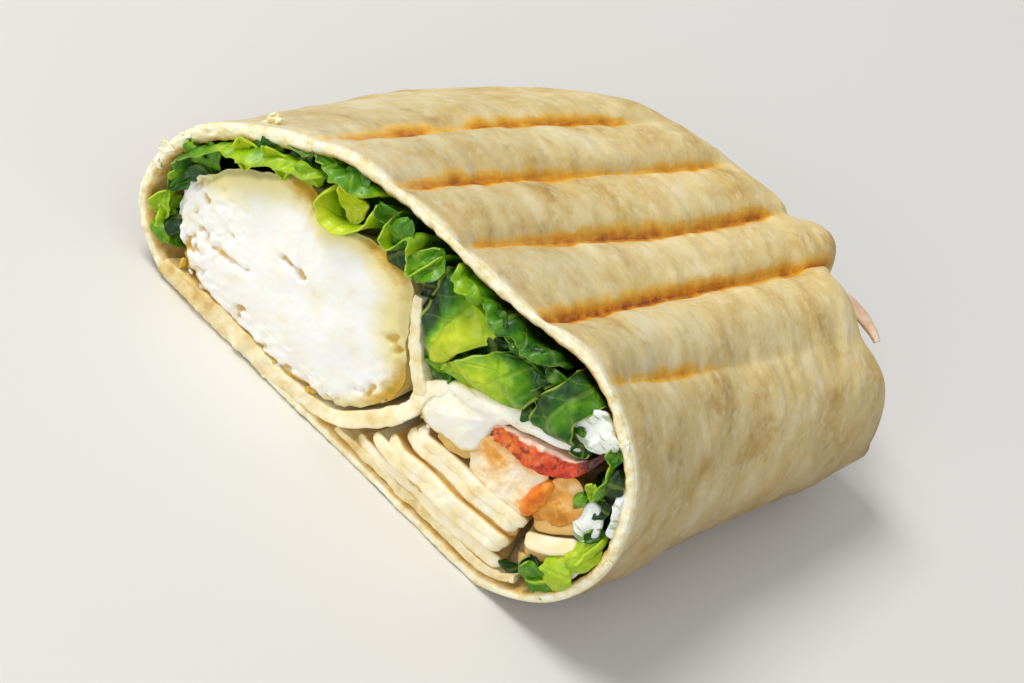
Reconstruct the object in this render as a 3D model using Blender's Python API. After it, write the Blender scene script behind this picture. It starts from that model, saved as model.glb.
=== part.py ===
"""Half of a toasted breakfast wrap, cut on the bias and lying on its grilled underside.

The cut faces -X and shows the fillings; the closed, tucked end faces +X. Z = 0 is the flat
underside. A place on the cut is given as (c, z): c runs along the cut's own line, towards the
far side (+Y), and z is the height. A depth is measured from the cut into the roll. All of this
is in millimetres, measured from the middle of the cut, until solid() turns it into metres
from the origin, which is on the underside below the middle of the half.
"""

import math

import bmesh
import bpy
import numpy as np

METRES = 0.001
ORIGIN = np.array([46.0, -4.0, 0.0])

# The roll
LENGTH = 98.0
CUT_WIDTH = 90.0
END_WIDTH = 80.0
CUT_HEIGHT = 43.0
END_HEIGHT = 32.0
BIAS = math.radians(19.6)
# The roll bends this much towards its far side
BEND = 2.6
# The cut is lower on its far side, and the roll is level again this far in
LEVELLING = 0.0018
LEVEL_DEPTH = 30.0

# The tortilla's outer outline on the cut, from its far edge over the top to its near edge
CUT_TOP = ((45.4, 16.0), (43.2, 25.5), (35.5, 33.5), (23.5, 41.0), (8.0, 43.0), (-8.0, 43.2),
           (-21.5, 45.0), (-33.0, 39.5), (-41.0, 31.0), (-45.0, 18.5))
# and from there under the roll, which is flat in the middle
CUT_BOTTOM = ((-42.3, 7.5), (-34.5, 0.9), (-27.0, 0.0), (0.0, 0.0), (27.0, 0.0), (35.5, 1.2),
              (43.2, 7.5))
WALL = 1.9
# Inside, the wall is this much thicker, so that the grill's grooves stay clear of the filling
GROOVE_ROOM = 1.4
ROOM_DEPTH = 9.0

# The closed end, as the depth that it reaches at each place across: a far corner cut back
# by the tuck, a ridge that sticks out between two grooves, and a near corner
END_REACH = ((42.5, 57.0), (37.0, 71.5), (27.0, 85.0), (20.0, 89.3), (15.0, 93.6), (10.0, 96.5),
             (6.0, 101.0), (1.8, 102.5), (-0.5, 106.0), (-3.5, 108.0), (-6.5, 105.5), (-10.0, 97.5),
             (-20.0, 98.0), (-24.5, 101.0), (-29.0, 104.5), (-32.0, 105.0), (-35.0, 102.5),
             (-37.0, 99.0))
END_ROUND = 13.0
END_EDGE_HEIGHT = 13.0
END_THICKNESS = 12.0
# A loose corner of the tuck sticks out beside the ridge: its middle line in (x, y, z), and how
# wide it is along that line
TUCK_FLAP = ((92.0, -8.0, 25.5), (97.2, -10.5, 25.8), (99.9, -14.0, 25.9), (101.0, -17.5, 25.7),
             (101.0, -21.3, 25.2))
TUCK_FLAP_WIDTHS = (4.0, 3.2, 2.7, 2.2, 0.9)
TUCK_FLAP_THICKNESS = 1.2
TUCK_FLAP_TILT = (0.85, -0.2, 0.48)

# The grill's grooves: where each crosses the cut, the middle and the closed end, and how deep
# it is as a share of GROOVE_DEPTH
GROOVES = ((27.2, 24.6, 21.6, 0.8),
           (15.0, 13.2, 12.4, 0.9),
           (3.2, 1.0, 3.4, 1.0),
           (-11.9, -9.6, -7.4, 1.15),
           (-24.0, -23.0, -21.5, 0.5))
GROOVE_PITCH = 12.2
GROOVE_DEPTH = 1.5
GROOVE_HALF_WIDTH = 2.9
UNDERSIDE_DEPTH = 0.8
LAND_PUFF = 0.8
# On the far side of this line the tuck smooths the grooves away, between these distances from
# the closed end
TUCK_LINE = 0.0
TUCK_BLEND = 4.0
TUCK_START = 17.0
TUCK_END = 8.0
# How deep the grooves already are at the cut, and how far below the top the relief begins
RELIEF_AT_CUT = 0.35
RELIEF_START = 8.0
RELIEF_RISE = 8.0
# Samples across one groove and the land beside it, in pitches
GROOVE_SAMPLES = (-0.25, -0.12, 0.0, 0.12, 0.25, 0.5)
SIDE_SAMPLES = 6
STRAIGHT_RINGS = 13
ROUND_RINGS = 6
RING_SPREAD = 1.25
INNER_RINGS = (0.0, 0.05, 0.12, 0.3, 0.5, 0.7, 0.88, 1.0)
CLOSING_RINGS = (0.6, 0.0)
CURVE_STEPS = 12

# Fillings run this deep, less towards the sides of the roll
FILLING_REACH = 74.0
SIDE_LOSS = 20.0
# and are sliced into these shares of it, the same for every filling
FILLING_STATIONS = (0.0, 0.09, 0.2, 0.36, 0.54, 0.76, 1.0)
MIDDLE_HEIGHT = 21.0
FILLING_ROOM = 1.8
# Their layers wave together: sideways by this much, up and down by a share of it, with this
# pitch into the roll and this lean over the cut
FILLING_WAVE = 0.45
WAVE_START = 25.0
SIDE_WAVE = (12.0, 15.0)
RISING_WAVE = (10.0, 16.0)
RISING_SHARE = 0.6
# and their slices are this much thinner at the closed end
THINNING = 0.3
LEAF = 0.75
# A ribbon has a column every so often; a chunk's cut face has rings at these shares of its size
RIBBON_PITCH = 2.4
CHUNK_RINGS = (0.35, 0.7, 0.9)
CRUMBLE_PITCHES = (1.7, 2.0)
# How far into the roll the rows behind a folded leaf's face lie, as shares of its depth
FOLD_ROWS = (0.12, 0.45, 1.0)
FACE_WAVE = 0.5


def smoothstep(value):
    value = np.clip(value, 0.0, 1.0)
    return value * value * (3.0 - 2.0 * value)


def smooth_curve(points, closed=False, steps=CURVE_STEPS):
    """Dense points on a smooth curve through the given points."""
    points = np.asarray(points, float)
    if closed:
        points = np.vstack([points[-1], points, points[:2]])
    else:
        points = np.vstack([2 * points[0] - points[1], points, 2 * points[-1] - points[-2]])
    dense = []
    for before, start, end, after in zip(points, points[1:], points[2:], points[3:]):
        for t in np.linspace(0.0, 1.0, steps, endpoint=False):
            pull = (end - before) * t
            bend = (2 * before - 5 * start + 4 * end - after) * t ** 2
            twist = (3 * start - before - 3 * end + after) * t ** 3
            dense.append(start + 0.5 * (pull + bend + twist))
    if not closed:
        dense.append(points[-2])
    return np.array(dense)


def even_steps(curve, count):
    """Points at even distances along a curve, its ends included."""
    lengths = np.linalg.norm(np.diff(curve, axis=0), axis=1)
    along = np.concatenate([[0.0], np.cumsum(lengths)])
    wanted = np.linspace(0.0, along[-1], count)
    return np.stack([np.interp(wanted, along, column) for column in curve.T], axis=1)


def body(c, z, depth):
    """Place in the roll behind the place (c, z) on the cut, at a depth."""
    share = depth / LENGTH
    width = 1.0 - (1.0 - END_WIDTH / CUT_WIDTH) * np.clip(share, 0.0, 1.0) ** 1.5
    height = 1.0 - (1.0 - END_HEIGHT / CUT_HEIGHT) * share
    level = 1.0 + LEVELLING * c * (1.0 - np.exp(-np.maximum(depth, 0.0) / LEVEL_DEPTH))
    x = depth - c * math.sin(BIAS) * (1.0 - share)
    y = c * math.cos(BIAS) * width + BEND * smoothstep(share * 2.0)
    return np.stack([x, y, z * height * level], axis=-1)


def place_across(y, depth):
    """The c that lies at y, at a depth."""
    zero = np.zeros_like(y)
    start = body(zero, zero, depth)[..., 1]
    return (y - start) / (body(zero + 1.0, zero, depth)[..., 1] - start)


def filling(c, z, share, front=0.0):
    """Place of a filling: its layers narrow and wave together towards the closed end."""
    reach = FILLING_REACH - SIDE_LOSS * (np.abs(c) / 44.0) ** 3
    depth = share * reach + front * (1.0 - share) ** 6
    room = 1.0 - FILLING_ROOM / MIDDLE_HEIGHT * smoothstep(depth / ROOM_DEPTH)
    wave = FILLING_WAVE * smoothstep(depth / WAVE_START)
    side = wave * np.sin(depth / SIDE_WAVE[0] + z / SIDE_WAVE[1])
    rise = RISING_SHARE * wave * np.sin(depth / RISING_WAVE[0] + c / RISING_WAVE[1])
    return body(c * room + side, MIDDLE_HEIGHT + (z - MIDDLE_HEIGHT) * room + rise, depth)


def material(name, colour, roughness):
    """A plain food finish; the colour is sRGB hex."""
    parts = [int(colour[i:i + 2], 16) / 255 for i in (0, 2, 4)]
    linear = [v / 12.92 if v <= 0.04045 else ((v + 0.055) / 1.055) ** 2.4 for v in parts]
    made = bpy.data.materials.new(name)
    made.use_nodes = True
    shader = made.node_tree.nodes["Principled BSDF"]
    shader.inputs["Base Color"].default_value = (*linear, 1.0)
    shader.inputs["Roughness"].default_value = roughness
    shader.inputs["Metallic"].default_value = 0.0
    made.diffuse_color = (*linear, 1.0)
    return made


def solid(name, vertices, faces, finish, smooth_angle=50.0):
    """One closed object from places in millimetres and their faces."""
    mesh = bpy.data.meshes.new(name)
    places = (np.asarray(vertices) - ORIGIN) * METRES
    mesh.from_pydata(places.tolist(), [], faces)
    bm = bmesh.new()
    bm.from_mesh(mesh)
    bmesh.ops.remove_doubles(bm, verts=bm.verts, dist=1e-6)
    bmesh.ops.triangulate(bm, faces=[face for face in bm.faces if len(face.verts) > 3])
    bmesh.ops.recalc_face_normals(bm, faces=bm.faces)
    bm.to_mesh(mesh)
    bm.free()
    mesh.shade_smooth()
    mesh.set_sharp_from_angle(angle=math.radians(smooth_angle))
    mesh.materials.append(finish)
    thing = bpy.data.objects.new(name, mesh)
    bpy.context.scene.collection.objects.link(thing)
    return thing


def grid_faces(rows, columns, start=0, closed=False, flip=False):
    """Triangles between neighbouring rows of a grid, all with the same diagonal."""
    faces = []
    for i in range(rows - 1):
        for j in range(columns if closed else columns - 1):
            a = start + i * columns + j
            b = start + i * columns + (j + 1) % columns
            c, d = b + columns, a + columns
            faces += [(a, c, b), (a, d, c)] if flip else [(a, b, c), (a, c, d)]
    return faces


def sheet(name, centres, thickness, finish):
    """A thin wavy solid round a grid of places, with both faces split alike."""
    down = np.gradient(centres, axis=0)
    across = np.gradient(centres, axis=1)
    normals = np.cross(down, across)
    normals /= np.linalg.norm(normals, axis=2, keepdims=True)
    rows, columns = centres.shape[:2]
    half = np.broadcast_to(np.asarray(thickness, float) / 2.0, (rows, columns))[..., None]
    places = np.concatenate([(centres + normals * half).reshape(-1, 3),
                             (centres - normals * half).reshape(-1, 3)])
    under = rows * columns
    faces = grid_faces(rows, columns) + grid_faces(rows, columns, start=under, flip=True)
    rim = [i * columns for i in range(rows)]
    rim += [(rows - 1) * columns + j for j in range(1, columns)]
    rim += [i * columns + columns - 1 for i in range(rows - 2, -1, -1)]
    rim += list(range(columns - 2, 0, -1))
    for a, b in zip(rim, rim[1:] + rim[:1]):
        faces += [(a, b, b + under), (a, b + under, a + under)]
    return solid(name, places, faces, finish)


def ribbon(name, path, thickness, finish, columns=None, fronts=(0.0,), share=1.0, droop=0.0):
    """A layer that follows a path on the cut and runs into the roll.

    Its edge at the cut stands back by fronts, spread along the path; where that is negative it
    sticks out, and sinks by droop for each millimetre.
    """
    curve = smooth_curve(path)
    length = np.linalg.norm(np.diff(curve, axis=0), axis=1).sum()
    columns = columns or max(4, round(length / RIBBON_PITCH) + 1)
    steps = even_steps(curve, columns)
    along = np.linspace(0.0, 1.0, columns)
    front = np.interp(along, np.linspace(0.0, 1.0, len(fronts)), fronts)
    sunk = droop * np.minimum(front, 0.0)
    rows = []
    for station in FILLING_STATIONS:
        height = steps[:, 1] + (sunk if station == 0.0 else 0.0)
        rows.append(filling(steps[:, 0], height, np.full(columns, station * share), front))
    thickness = np.interp(along, np.linspace(0.0, 1.0, len(thickness)), thickness)
    thinner = 1.0 - THINNING * share * np.array(FILLING_STATIONS)
    return sheet(name, np.array(rows), np.outer(thinner, thickness), finish)


def chunk(name, outline, finish, columns=28, bulge=1.0, crumble=0.0, share=1.0):
    """A thick filling with an outline on the cut, its cut face domed and a little crumbly."""
    curve = smooth_curve(outline, closed=True)
    steps = even_steps(np.vstack([curve, curve[:1]]), columns + 1)[:-1]
    middle = steps.mean(axis=0)
    vertices = []
    for shrink in CHUNK_RINGS:
        ring = middle + (steps - middle) * shrink
        swirl = 2.0 * np.sin(ring[:, 1] / CRUMBLE_PITCHES[1])
        rough = crumble * np.sin(ring[:, 0] / CRUMBLE_PITCHES[0] + swirl)
        front = -bulge * (1.0 - shrink ** 2) + rough * (1.0 - shrink ** 4)
        vertices.append(filling(ring[:, 0], ring[:, 1], np.zeros(columns), front))
    for station in FILLING_STATIONS:
        vertices.append(filling(steps[:, 0], steps[:, 1], np.full(columns, station * share)))
    count = len(vertices) * columns
    ends = [filling(middle[0], middle[1], 0.0, -bulge), filling(middle[0], middle[1], share)]
    faces = grid_faces(len(vertices), columns, closed=True)
    last = count - columns
    for j in range(columns):
        following = (j + 1) % columns
        faces += [(count, following, j), (count + 1, last + j, last + following)]
    return solid(name, np.vstack([np.concatenate(vertices), ends]), faces, finish)


def groove_rows(share):
    """Places across the roll of the grooves, with one more on each side, at a share of the depth."""
    rows = []
    for at_cut, at_middle, at_end, _ in GROOVES:
        rows.append(np.interp(share, (0.0, 0.5, 1.0), (at_cut, at_middle, at_end)))
    return np.array([rows[0] + GROOVE_PITCH] + rows + [rows[-1] - GROOVE_PITCH])


def groove_samples():
    """Sample places across the roll, numbered so that groove 1 is at 1."""
    samples = [0.5]
    for groove in range(1, len(GROOVES) + 1):
        samples += [groove + step for step in GROOVE_SAMPLES]
    return np.array(samples)


def arc_lines(arc, depth, rows):
    """Points on one side of the outline: round its far edge, at the grooves, round its near edge."""
    c_wanted = place_across(np.interp(groove_samples(), np.arange(len(rows)), rows), depth)
    z_wanted = np.interp(c_wanted, arc[::-1, 0], arc[::-1, 1])
    middle = np.stack([c_wanted, z_wanted], axis=1)
    far = np.vstack([arc[arc[:, 0] > c_wanted[0] + 0.2], middle[:1]])
    near = np.vstack([middle[-1:], arc[arc[:, 0] < c_wanted[-1] - 0.2]])
    return np.vstack([even_steps(far, SIDE_SAMPLES + 2)[:-1], middle, even_steps(near, SIDE_SAMPLES + 2)[1:]])


def outline_arcs():
    """The top and the underside of the outline on the cut, each from its far to its near edge."""
    outline = smooth_curve(CUT_TOP + CUT_BOTTOM, closed=True)
    outline[:, 1] = np.maximum(outline[:, 1], 0.0)
    turn = (len(CUT_TOP) - 1) * CURVE_STEPS
    return outline[:turn + 1], np.vstack([outline[turn:], outline[:1]])[::-1]


def outline_ring(share):
    """The outline's points at a share of the roll's depth, over the top and back underneath."""
    rows = groove_rows(share)
    top, underside = outline_arcs()
    upper = arc_lines(top, share * LENGTH, rows)
    lower = arc_lines(underside, share * LENGTH, rows)
    return np.vstack([upper, lower[-2:0:-1]])


def groove_relief(ring, depth, reach, share, heights):
    """How far the grill's grooves press each point of a ring in, and the lands puff it out."""
    across = ring[:, 1]
    pressed = np.zeros_like(across)
    distance = np.full_like(across, GROOVE_PITCH)
    for row, (_, _, _, strength) in zip(groove_rows(share)[1:-1], GROOVES):
        pressed += strength * (1.0 - smoothstep(np.abs(across - row) / GROOVE_HALF_WIDTH))
        distance = np.minimum(distance, np.abs(across - row))
    puffed = smoothstep(distance / (GROOVE_PITCH / 2))
    above = heights > MIDDLE_HEIGHT
    relief = np.where(above, LAND_PUFF * puffed - GROOVE_DEPTH * pressed, UNDERSIDE_DEPTH * pressed)
    from_cut = RELIEF_AT_CUT + (1.0 - RELIEF_AT_CUT) * smoothstep(depth / ROOM_DEPTH)
    flatness = smoothstep((np.abs(heights - MIDDLE_HEIGHT) - RELIEF_START) / RELIEF_RISE)
    tucked = smoothstep((depth - reach + TUCK_START) / (TUCK_START - TUCK_END))
    tucked = tucked * smoothstep((across - TUCK_LINE) / TUCK_BLEND)
    return relief * flatness * from_cut * (1.0 - tucked)


def fold_flat(ring):
    """Lays the lower half of a ring on its upper half, which closes it along its edge."""
    upper_count = len(ring) // 2 + 1
    ring[upper_count:] = ring[1:upper_count - 1][::-1]


def outer_rings():
    """Rings of the tortilla's outside, from the cut to the closed end, and how deep it reaches."""
    upper_count = len(outline_ring(0.0)) // 2 + 1
    end_y = body(*outline_ring(1.0)[:upper_count].T, LENGTH)[:, 1]
    places, depths = np.array(END_REACH)[::-1].T
    reach = np.interp(end_y, places, depths)
    reach = np.concatenate([reach, reach[-2:0:-1]])
    rings = []
    for k in range(STRAIGHT_RINGS + ROUND_RINGS + 1):
        turn = math.pi / 2 * max(k - STRAIGHT_RINGS, 0) / ROUND_RINGS
        straight = min(k / STRAIGHT_RINGS, 1.0) ** RING_SPREAD
        depth = straight * (reach - END_ROUND) + END_ROUND * math.sin(turn)
        share = min(depth.mean() / LENGTH, 1.0)
        lines = outline_ring(share)
        ring = body(lines[:, 0], lines[:, 1], depth)
        ring[:, 2] += groove_relief(ring, depth, reach, share, lines[:, 1])
        ring[:, 2] = END_EDGE_HEIGHT + (ring[:, 2] - END_EDGE_HEIGHT) * math.cos(turn)
        rings.append(ring)
    fold_flat(rings[-1])
    return rings, reach


def inner_rings(reach):
    """Rings of the tortilla's inside, from the cut to where it is closed."""
    lines = outline_ring(0.0)
    following = np.roll(lines, -1, axis=0) - np.roll(lines, 1, axis=0)
    inward = np.stack([-following[:, 1], following[:, 0]], axis=1)
    inward /= np.linalg.norm(inward, axis=1, keepdims=True)
    rings = []
    for share in INNER_RINGS:
        depth = share * (np.minimum(reach, LENGTH) - END_THICKNESS)
        thick = WALL + GROOVE_ROOM * smoothstep(depth / ROOM_DEPTH)[:, None]
        place = lines + inward * thick
        rings.append(body(place[:, 0], place[:, 1], depth))
    for flatter in CLOSING_RINGS:
        ring = rings[-1].copy()
        ring[:, 2] = END_EDGE_HEIGHT + (ring[:, 2] - END_EDGE_HEIGHT) * flatter
        rings.append(ring)
    fold_flat(rings[-1])
    return rings


def tuck_flap(finish):
    """The loose corner of the tuck, a thin strip that narrows to its tip."""
    middle = np.array(TUCK_FLAP)
    wide = np.outer(TUCK_FLAP_WIDTHS, TUCK_FLAP_TILT)
    return sheet("tuck_flap", np.array([middle - wide / 2, middle + wide / 2]), TUCK_FLAP_THICKNESS, finish)


def tortilla(finish):
    """The rolled tortilla: its outer wall with the grill's grooves, its inner fold and its tuck."""
    outer, reach = outer_rings()
    rings = outer[::-1] + inner_rings(reach)
    faces = grid_faces(len(rings), len(reach), closed=True)
    wall = solid("tortilla", np.concatenate(rings), faces, finish)

    fold = ribbon("fold", ((34.0, 2.4), (20.0, 2.4), (8.0, 2.6), (0.0, 4.2), (-5.0, 9.8),
                           (-8.2, 15.4), (-8.4, 20.0), (-10.8, 23.8), (-14.5, 25.4), (-18.8, 26.6)),
                  (2.3, 2.2, 1.6, 1.5, 1.5, 1.2), finish, columns=26, share=0.98)
    branch = ribbon("branch", ((-8.3, 18.6), (-4.6, 21.8), (-1.0, 26.6), (2.4, 31.6)),
                    (1.2, 1.1, 0.9), finish, columns=7, share=0.6)
    for piece in (fold, branch, tuck_flap(finish)):
        union = wall.modifiers.new("union " + piece.name, "BOOLEAN")
        union.operation = "UNION"
        union.solver = "EXACT"
        union.object = piece
        piece.hide_render = True
        piece.display_type = "WIRE"
    return wall


def egg(finish):
    """The large piece of cooked egg that fills the far half of the cut."""
    chunk("egg", ((38.6, 16.0), (37.2, 20.3), (33.6, 25.2), (29.4, 29.3), (25.3, 31.0), (21.7, 29.4),
                  (18.6, 28.8), (15.3, 31.0), (10.3, 32.6), (6.0, 31.8), (3.2, 28.6), (1.2, 24.1),
                  (-1.1, 20.5), (-3.8, 17.5), (-4.3, 14.1), (-2.2, 9.4), (0.9, 6.4), (4.8, 4.9),
                  (10.3, 4.2), (18.9, 4.0), (27.4, 4.4), (32.2, 6.9), (36.4, 10.5)),
          finish, columns=50, bulge=1.2, crumble=0.35)


def egg_small(finish):
    """A second piece of egg, in the fold of the tortilla."""
    chunk("egg_small", ((-10.3, 17.4), (-9.9, 19.8), (-11.8, 21.9), (-15.0, 23.0), (-18.8, 23.8),
                        (-19.9, 21.6), (-19.4, 18.4), (-16.4, 16.9), (-12.8, 16.6)),
          finish, columns=18, bulge=0.8, crumble=0.25)


def slices(finish):
    """Five slices lying on each other, and three more that stand on edge beside them."""
    left, right = -9.2, -31.8
    for number, (height, start, end) in enumerate(((5.6, 0.0, 1.6), (7.7, -0.4, 0.0), (9.8, -1.6, 0.6),
                                                   (11.9, -2.8, -0.4), (14.1, -2.6, 0.8))):
        path = ((left + start, height - 0.2), (-16.0, height + 0.3), (-24.0, height - 0.3),
                (right - end, height + 0.5))
        ribbon(f"flat_slice_{number + 1}", path, (1.2, 1.5, 1.55, 1.4), finish, columns=10,
               fronts=(1.2, 0.2, -0.6, 0.3, -0.4 + 0.5 * number % 1.2), share=0.96)
    for number in range(3):
        rise = 2.9 * number
        path = ((-34.2, 8.2 + rise), (-36.1, 9.6 + rise), (-37.7, 11.5 + rise))
        ribbon(f"standing_slice_{number + 1}", path, (1.3, 1.6, 1.3), finish, columns=5,
               fronts=(0.6, -0.5, 0.2), share=0.9)


def roast(finish):
    """The darker block of roast meat under the bacon, parted by the piece of pepper."""
    chunk("roast_block", ((-20.4, 16.4), (-20.6, 19.4), (-22.0, 21.3), (-25.0, 22.2), (-28.2, 22.6),
                          (-28.4, 19.4), (-28.2, 16.6), (-24.4, 15.9)),
          finish, columns=16, bulge=0.6, crumble=0.15)
    chunk("roast_end", ((-32.0, 18.8), (-31.9, 22.4), (-32.6, 25.2), (-34.0, 24.6), (-34.9, 22.2),
                        (-33.6, 19.4), (-32.8, 17.6)),
          finish, columns=12, bulge=0.5)


def pepper(finish):
    """A small piece of orange pepper."""
    chunk("pepper", ((-29.3, 17.0), (-29.3, 20.0), (-29.4, 23.2), (-30.5, 24.0), (-31.1, 21.0),
                     (-30.9, 17.8), (-30.4, 16.4)),
          finish, columns=12, bulge=0.9, share=0.5)


def bacon(finish):
    """A rasher that rises from the small piece of egg to the dark, thin end near the wall."""
    ribbon("bacon", ((-21.0, 24.4), (-24.4, 25.9), (-28.4, 27.3), (-31.0, 29.2), (-32.2, 31.2),
                     (-32.6, 33.4)), (3.2, 4.2, 4.2, 3.4, 1.9, 1.3), finish, columns=11,
           fronts=(0.0, -0.9, 0.2, -1.0, -0.3, 0.4), share=0.95)


def cream(finish):
    """Thick sauce: a blob beside the right leaf and two smears along the near wall."""
    chunk("cream_blob", ((-27.0, 36.0), (-27.4, 38.2), (-29.0, 38.9), (-30.8, 37.6), (-31.4, 36.0),
                         (-30.6, 34.3), (-28.9, 33.7)),
          finish, columns=14, bulge=1.4, share=0.7)
    chunk("cream_smear", ((-36.2, 22.0), (-35.7, 24.6), (-36.5, 26.4), (-38.0, 26.0), (-39.5, 24.0),
                          (-40.0, 21.8), (-39.4, 20.4), (-37.6, 20.4)),
          finish, columns=14, bulge=0.6, share=0.6)


def leaf(name, path, fronts, finish, share=0.9, thickness=LEAF, droop=0.35):
    """A spinach leaf that follows a path on the cut; its edge there comes and goes in waves."""
    thin = thickness * 0.7
    ribbon(name, path, (thin, thickness, thickness, thickness, thin), finish, fronts=fronts,
           share=share, droop=droop)


def face_leaf(name, above, face, below, finish, columns=6, share=0.85, thickness=LEAF):
    """A folded leaf that shows its face at the cut, with both ends running in.

    Each row across the leaf is (left c, right c, left z, right z); the face rows also have how
    far they stand back from the cut.
    """
    across = np.linspace(0.0, 1.0, columns)
    rows = []

    def add(left, right, left_z, right_z, station, front):
        c = left + (right - left) * across
        z = left_z + (right_z - left_z) * across
        ripple = FACE_WAVE * np.sin(across * columns + left_z)
        rows.append(filling(c, z, np.full(columns, station), front + ripple))

    for station in FOLD_ROWS[::-1]:
        add(*above, station * share, 0.0)
    for row in face:
        add(*row[:4], 0.0, row[4])
    for station in FOLD_ROWS:
        add(*below, station * share, 0.0)
    sheet(name, np.array(rows), thickness, finish)


def face_leaves(finish):
    """Three folded leaves: a pointed one, a broad one and one at the near corner."""
    face_leaf("leaf_fold", (1.6, -10.4, 38.1, 37.7),
              ((1.2, -10.2, 37.5, 37.0, 0.5), (-0.4, -9.2, 34.6, 34.6, -0.6),
               (-1.9, -7.9, 31.2, 31.2, -1.2), (-3.3, -6.6, 27.8, 27.8, -1.0),
               (-4.1, -5.9, 25.8, 25.8, 0.2)),
              (-4.2, -5.8, 25.3, 25.3), finish, columns=7)
    face_leaf("leaf_broad", (-12.4, -20.3, 37.0, 37.8),
              ((-12.0, -20.3, 36.4, 37.1, 0.4), (-10.6, -20.3, 34.2, 34.9, -1.0),
               (-9.5, -20.2, 31.6, 32.4, -1.5), (-8.8, -20.0, 29.2, 30.3, -1.0),
               (-8.6, -19.8, 27.7, 29.0, 0.4)),
              (-8.8, -19.7, 27.2, 28.5), finish)
    face_leaf("leaf_right", (-21.6, -26.2, 41.6, 40.4),
              ((-21.6, -26.2, 41.0, 39.9, 0.3), (-21.4, -26.2, 37.6, 37.2, -1.4),
               (-21.3, -26.3, 34.0, 34.6, -1.8), (-21.4, -27.2, 30.8, 32.7, -0.9),
               (-21.8, -28.2, 29.4, 31.9, 0.4)),
              (-21.9, -28.3, 29.0, 31.5), finish)


def leaves(finish):
    """The other spinach leaves, from the far edge over the top to the near edge."""
    leaf("leaf_far", ((41.0, 12.4), (41.6, 17.2), (40.9, 22.4), (37.2, 27.4), (32.0, 31.6),
                      (27.4, 33.9), (24.2, 35.4)), (0.5, -0.8, -2.6, -1.6, -3.2, -2.0, -3.0), finish)
    leaf("leaf_low", ((40.2, 9.4), (37.5, 6.9), (34.9, 4.9)), (0.3, -0.8, 0.4), finish, thickness=0.9)
    leaf("leaf_rim", ((31.6, 33.4), (28.0, 35.9), (23.4, 38.0), (16.4, 39.4)),
         (-0.8, -0.2, -2.4, -1.4), finish)
    leaf("leaf_cup", ((22.3, 36.2), (21.8, 32.8), (19.2, 30.9), (16.0, 32.6), (14.4, 35.6), (16.0, 38.0)),
         (-1.2, -2.6, -2.2, -3.0, -2.4, -1.0), finish, share=0.6)
    leaf("leaf_crumple", ((13.2, 39.6), (11.8, 36.8), (9.9, 35.0), (8.4, 39.4), (6.7, 36.0),
                          (4.8, 34.8), (4.0, 39.6)), (-1.4, -3.0, -1.0, -2.6, -1.6, -3.2, -0.8), finish)
    leaf("leaf_top", ((2.2, 40.0), (-3.4, 39.9), (-7.4, 39.8), (-10.6, 40.4), (-14.0, 39.6), (-17.0, 41.0),
                      (-20.0, 40.4)), (-1.0, -2.4, -1.0, -3.0, -1.6, -3.0, -1.2), finish)
    leaf("leaf_edge", ((-34.9, 27.8), (-36.4, 29.6), (-35.7, 32.0), (-33.8, 34.2)),
         (-0.6, -2.0, -1.2, -0.5), finish)
    leaf("leaf_near", ((-36.2, 7.4), (-39.0, 10.1), (-40.9, 14.4), (-41.5, 19.4), (-41.1, 23.6)),
         (0.2, -1.6, -0.8, -1.9, -0.3), finish, thickness=1.2)


def build():
    for old in list(bpy.data.objects):
        bpy.data.objects.remove(old, do_unlink=True)
    tortilla(material("tortilla", "d8bf8c", 0.8))
    white = material("egg", "f6f3e2", 0.45)
    egg(white)
    egg_small(white)
    slices(material("slice", "e0c986", 0.5))
    roast(material("roast", "c48442", 0.5))
    pepper(material("pepper", "d8700f", 0.35))
    bacon(material("bacon", "b8501a", 0.4))
    cream(material("cream", "e8ecdc", 0.3))
    green = material("spinach", "5f8c1c", 0.45)
    face_leaves(green)
    leaves(green)


build()
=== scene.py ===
"""The looks of half a toasted breakfast wrap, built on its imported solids.

A place is given on the cut as (c, z): c runs along the cut's own line, towards the far side
(+Y), and z is the height. A depth is measured from the cut into the roll. All of this is in
millimetres from the middle of the cut, until bare_mesh() makes it metres from the origin.
"""

import math

import bmesh
import bpy
import numpy as np
from mathutils import Matrix, Vector, noise


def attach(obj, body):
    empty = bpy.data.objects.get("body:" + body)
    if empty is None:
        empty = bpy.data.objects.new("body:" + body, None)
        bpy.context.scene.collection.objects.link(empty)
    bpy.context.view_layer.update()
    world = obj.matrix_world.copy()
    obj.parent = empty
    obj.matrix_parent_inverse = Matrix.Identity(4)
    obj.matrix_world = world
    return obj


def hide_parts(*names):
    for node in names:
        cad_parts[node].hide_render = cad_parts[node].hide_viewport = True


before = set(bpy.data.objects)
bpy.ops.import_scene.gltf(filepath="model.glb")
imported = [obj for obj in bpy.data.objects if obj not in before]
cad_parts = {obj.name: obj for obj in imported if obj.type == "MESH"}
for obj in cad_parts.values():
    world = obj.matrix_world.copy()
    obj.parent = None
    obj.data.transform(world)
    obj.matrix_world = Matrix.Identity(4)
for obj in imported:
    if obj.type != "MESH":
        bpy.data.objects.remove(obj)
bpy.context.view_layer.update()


# The tortilla's wall
# One soft wheat tortilla, rolled round the fillings, pressed and toasted between ribbed grill
# plates and then cut on the bias. Its lands puffed up between the grooves that the ribs pressed
# in, and the cut's rim shows the pale, torn crumb of the dough.
METRES = 0.001
# Where the part's origin lies, from the middle of the cut
ORIGIN = np.array([46.0, -4.0, 0.0])
# The roll from its cut to its closed end: the cut's slant, and how the roll bends, narrows, gets
# lower and levels out
LENGTH, BIAS, BEND, BEND_END, NARROWING = 98.0, math.radians(19.6), 2.6, 0.5, 1.5
CUT_WIDTH, END_WIDTH, CUT_HEIGHT, END_HEIGHT = 90.0, 80.0, 43.0, 32.0
LEVELLING, LEVEL_DEPTH, MIDDLE_HEIGHT = 0.0018, 30.0, 21.0
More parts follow.
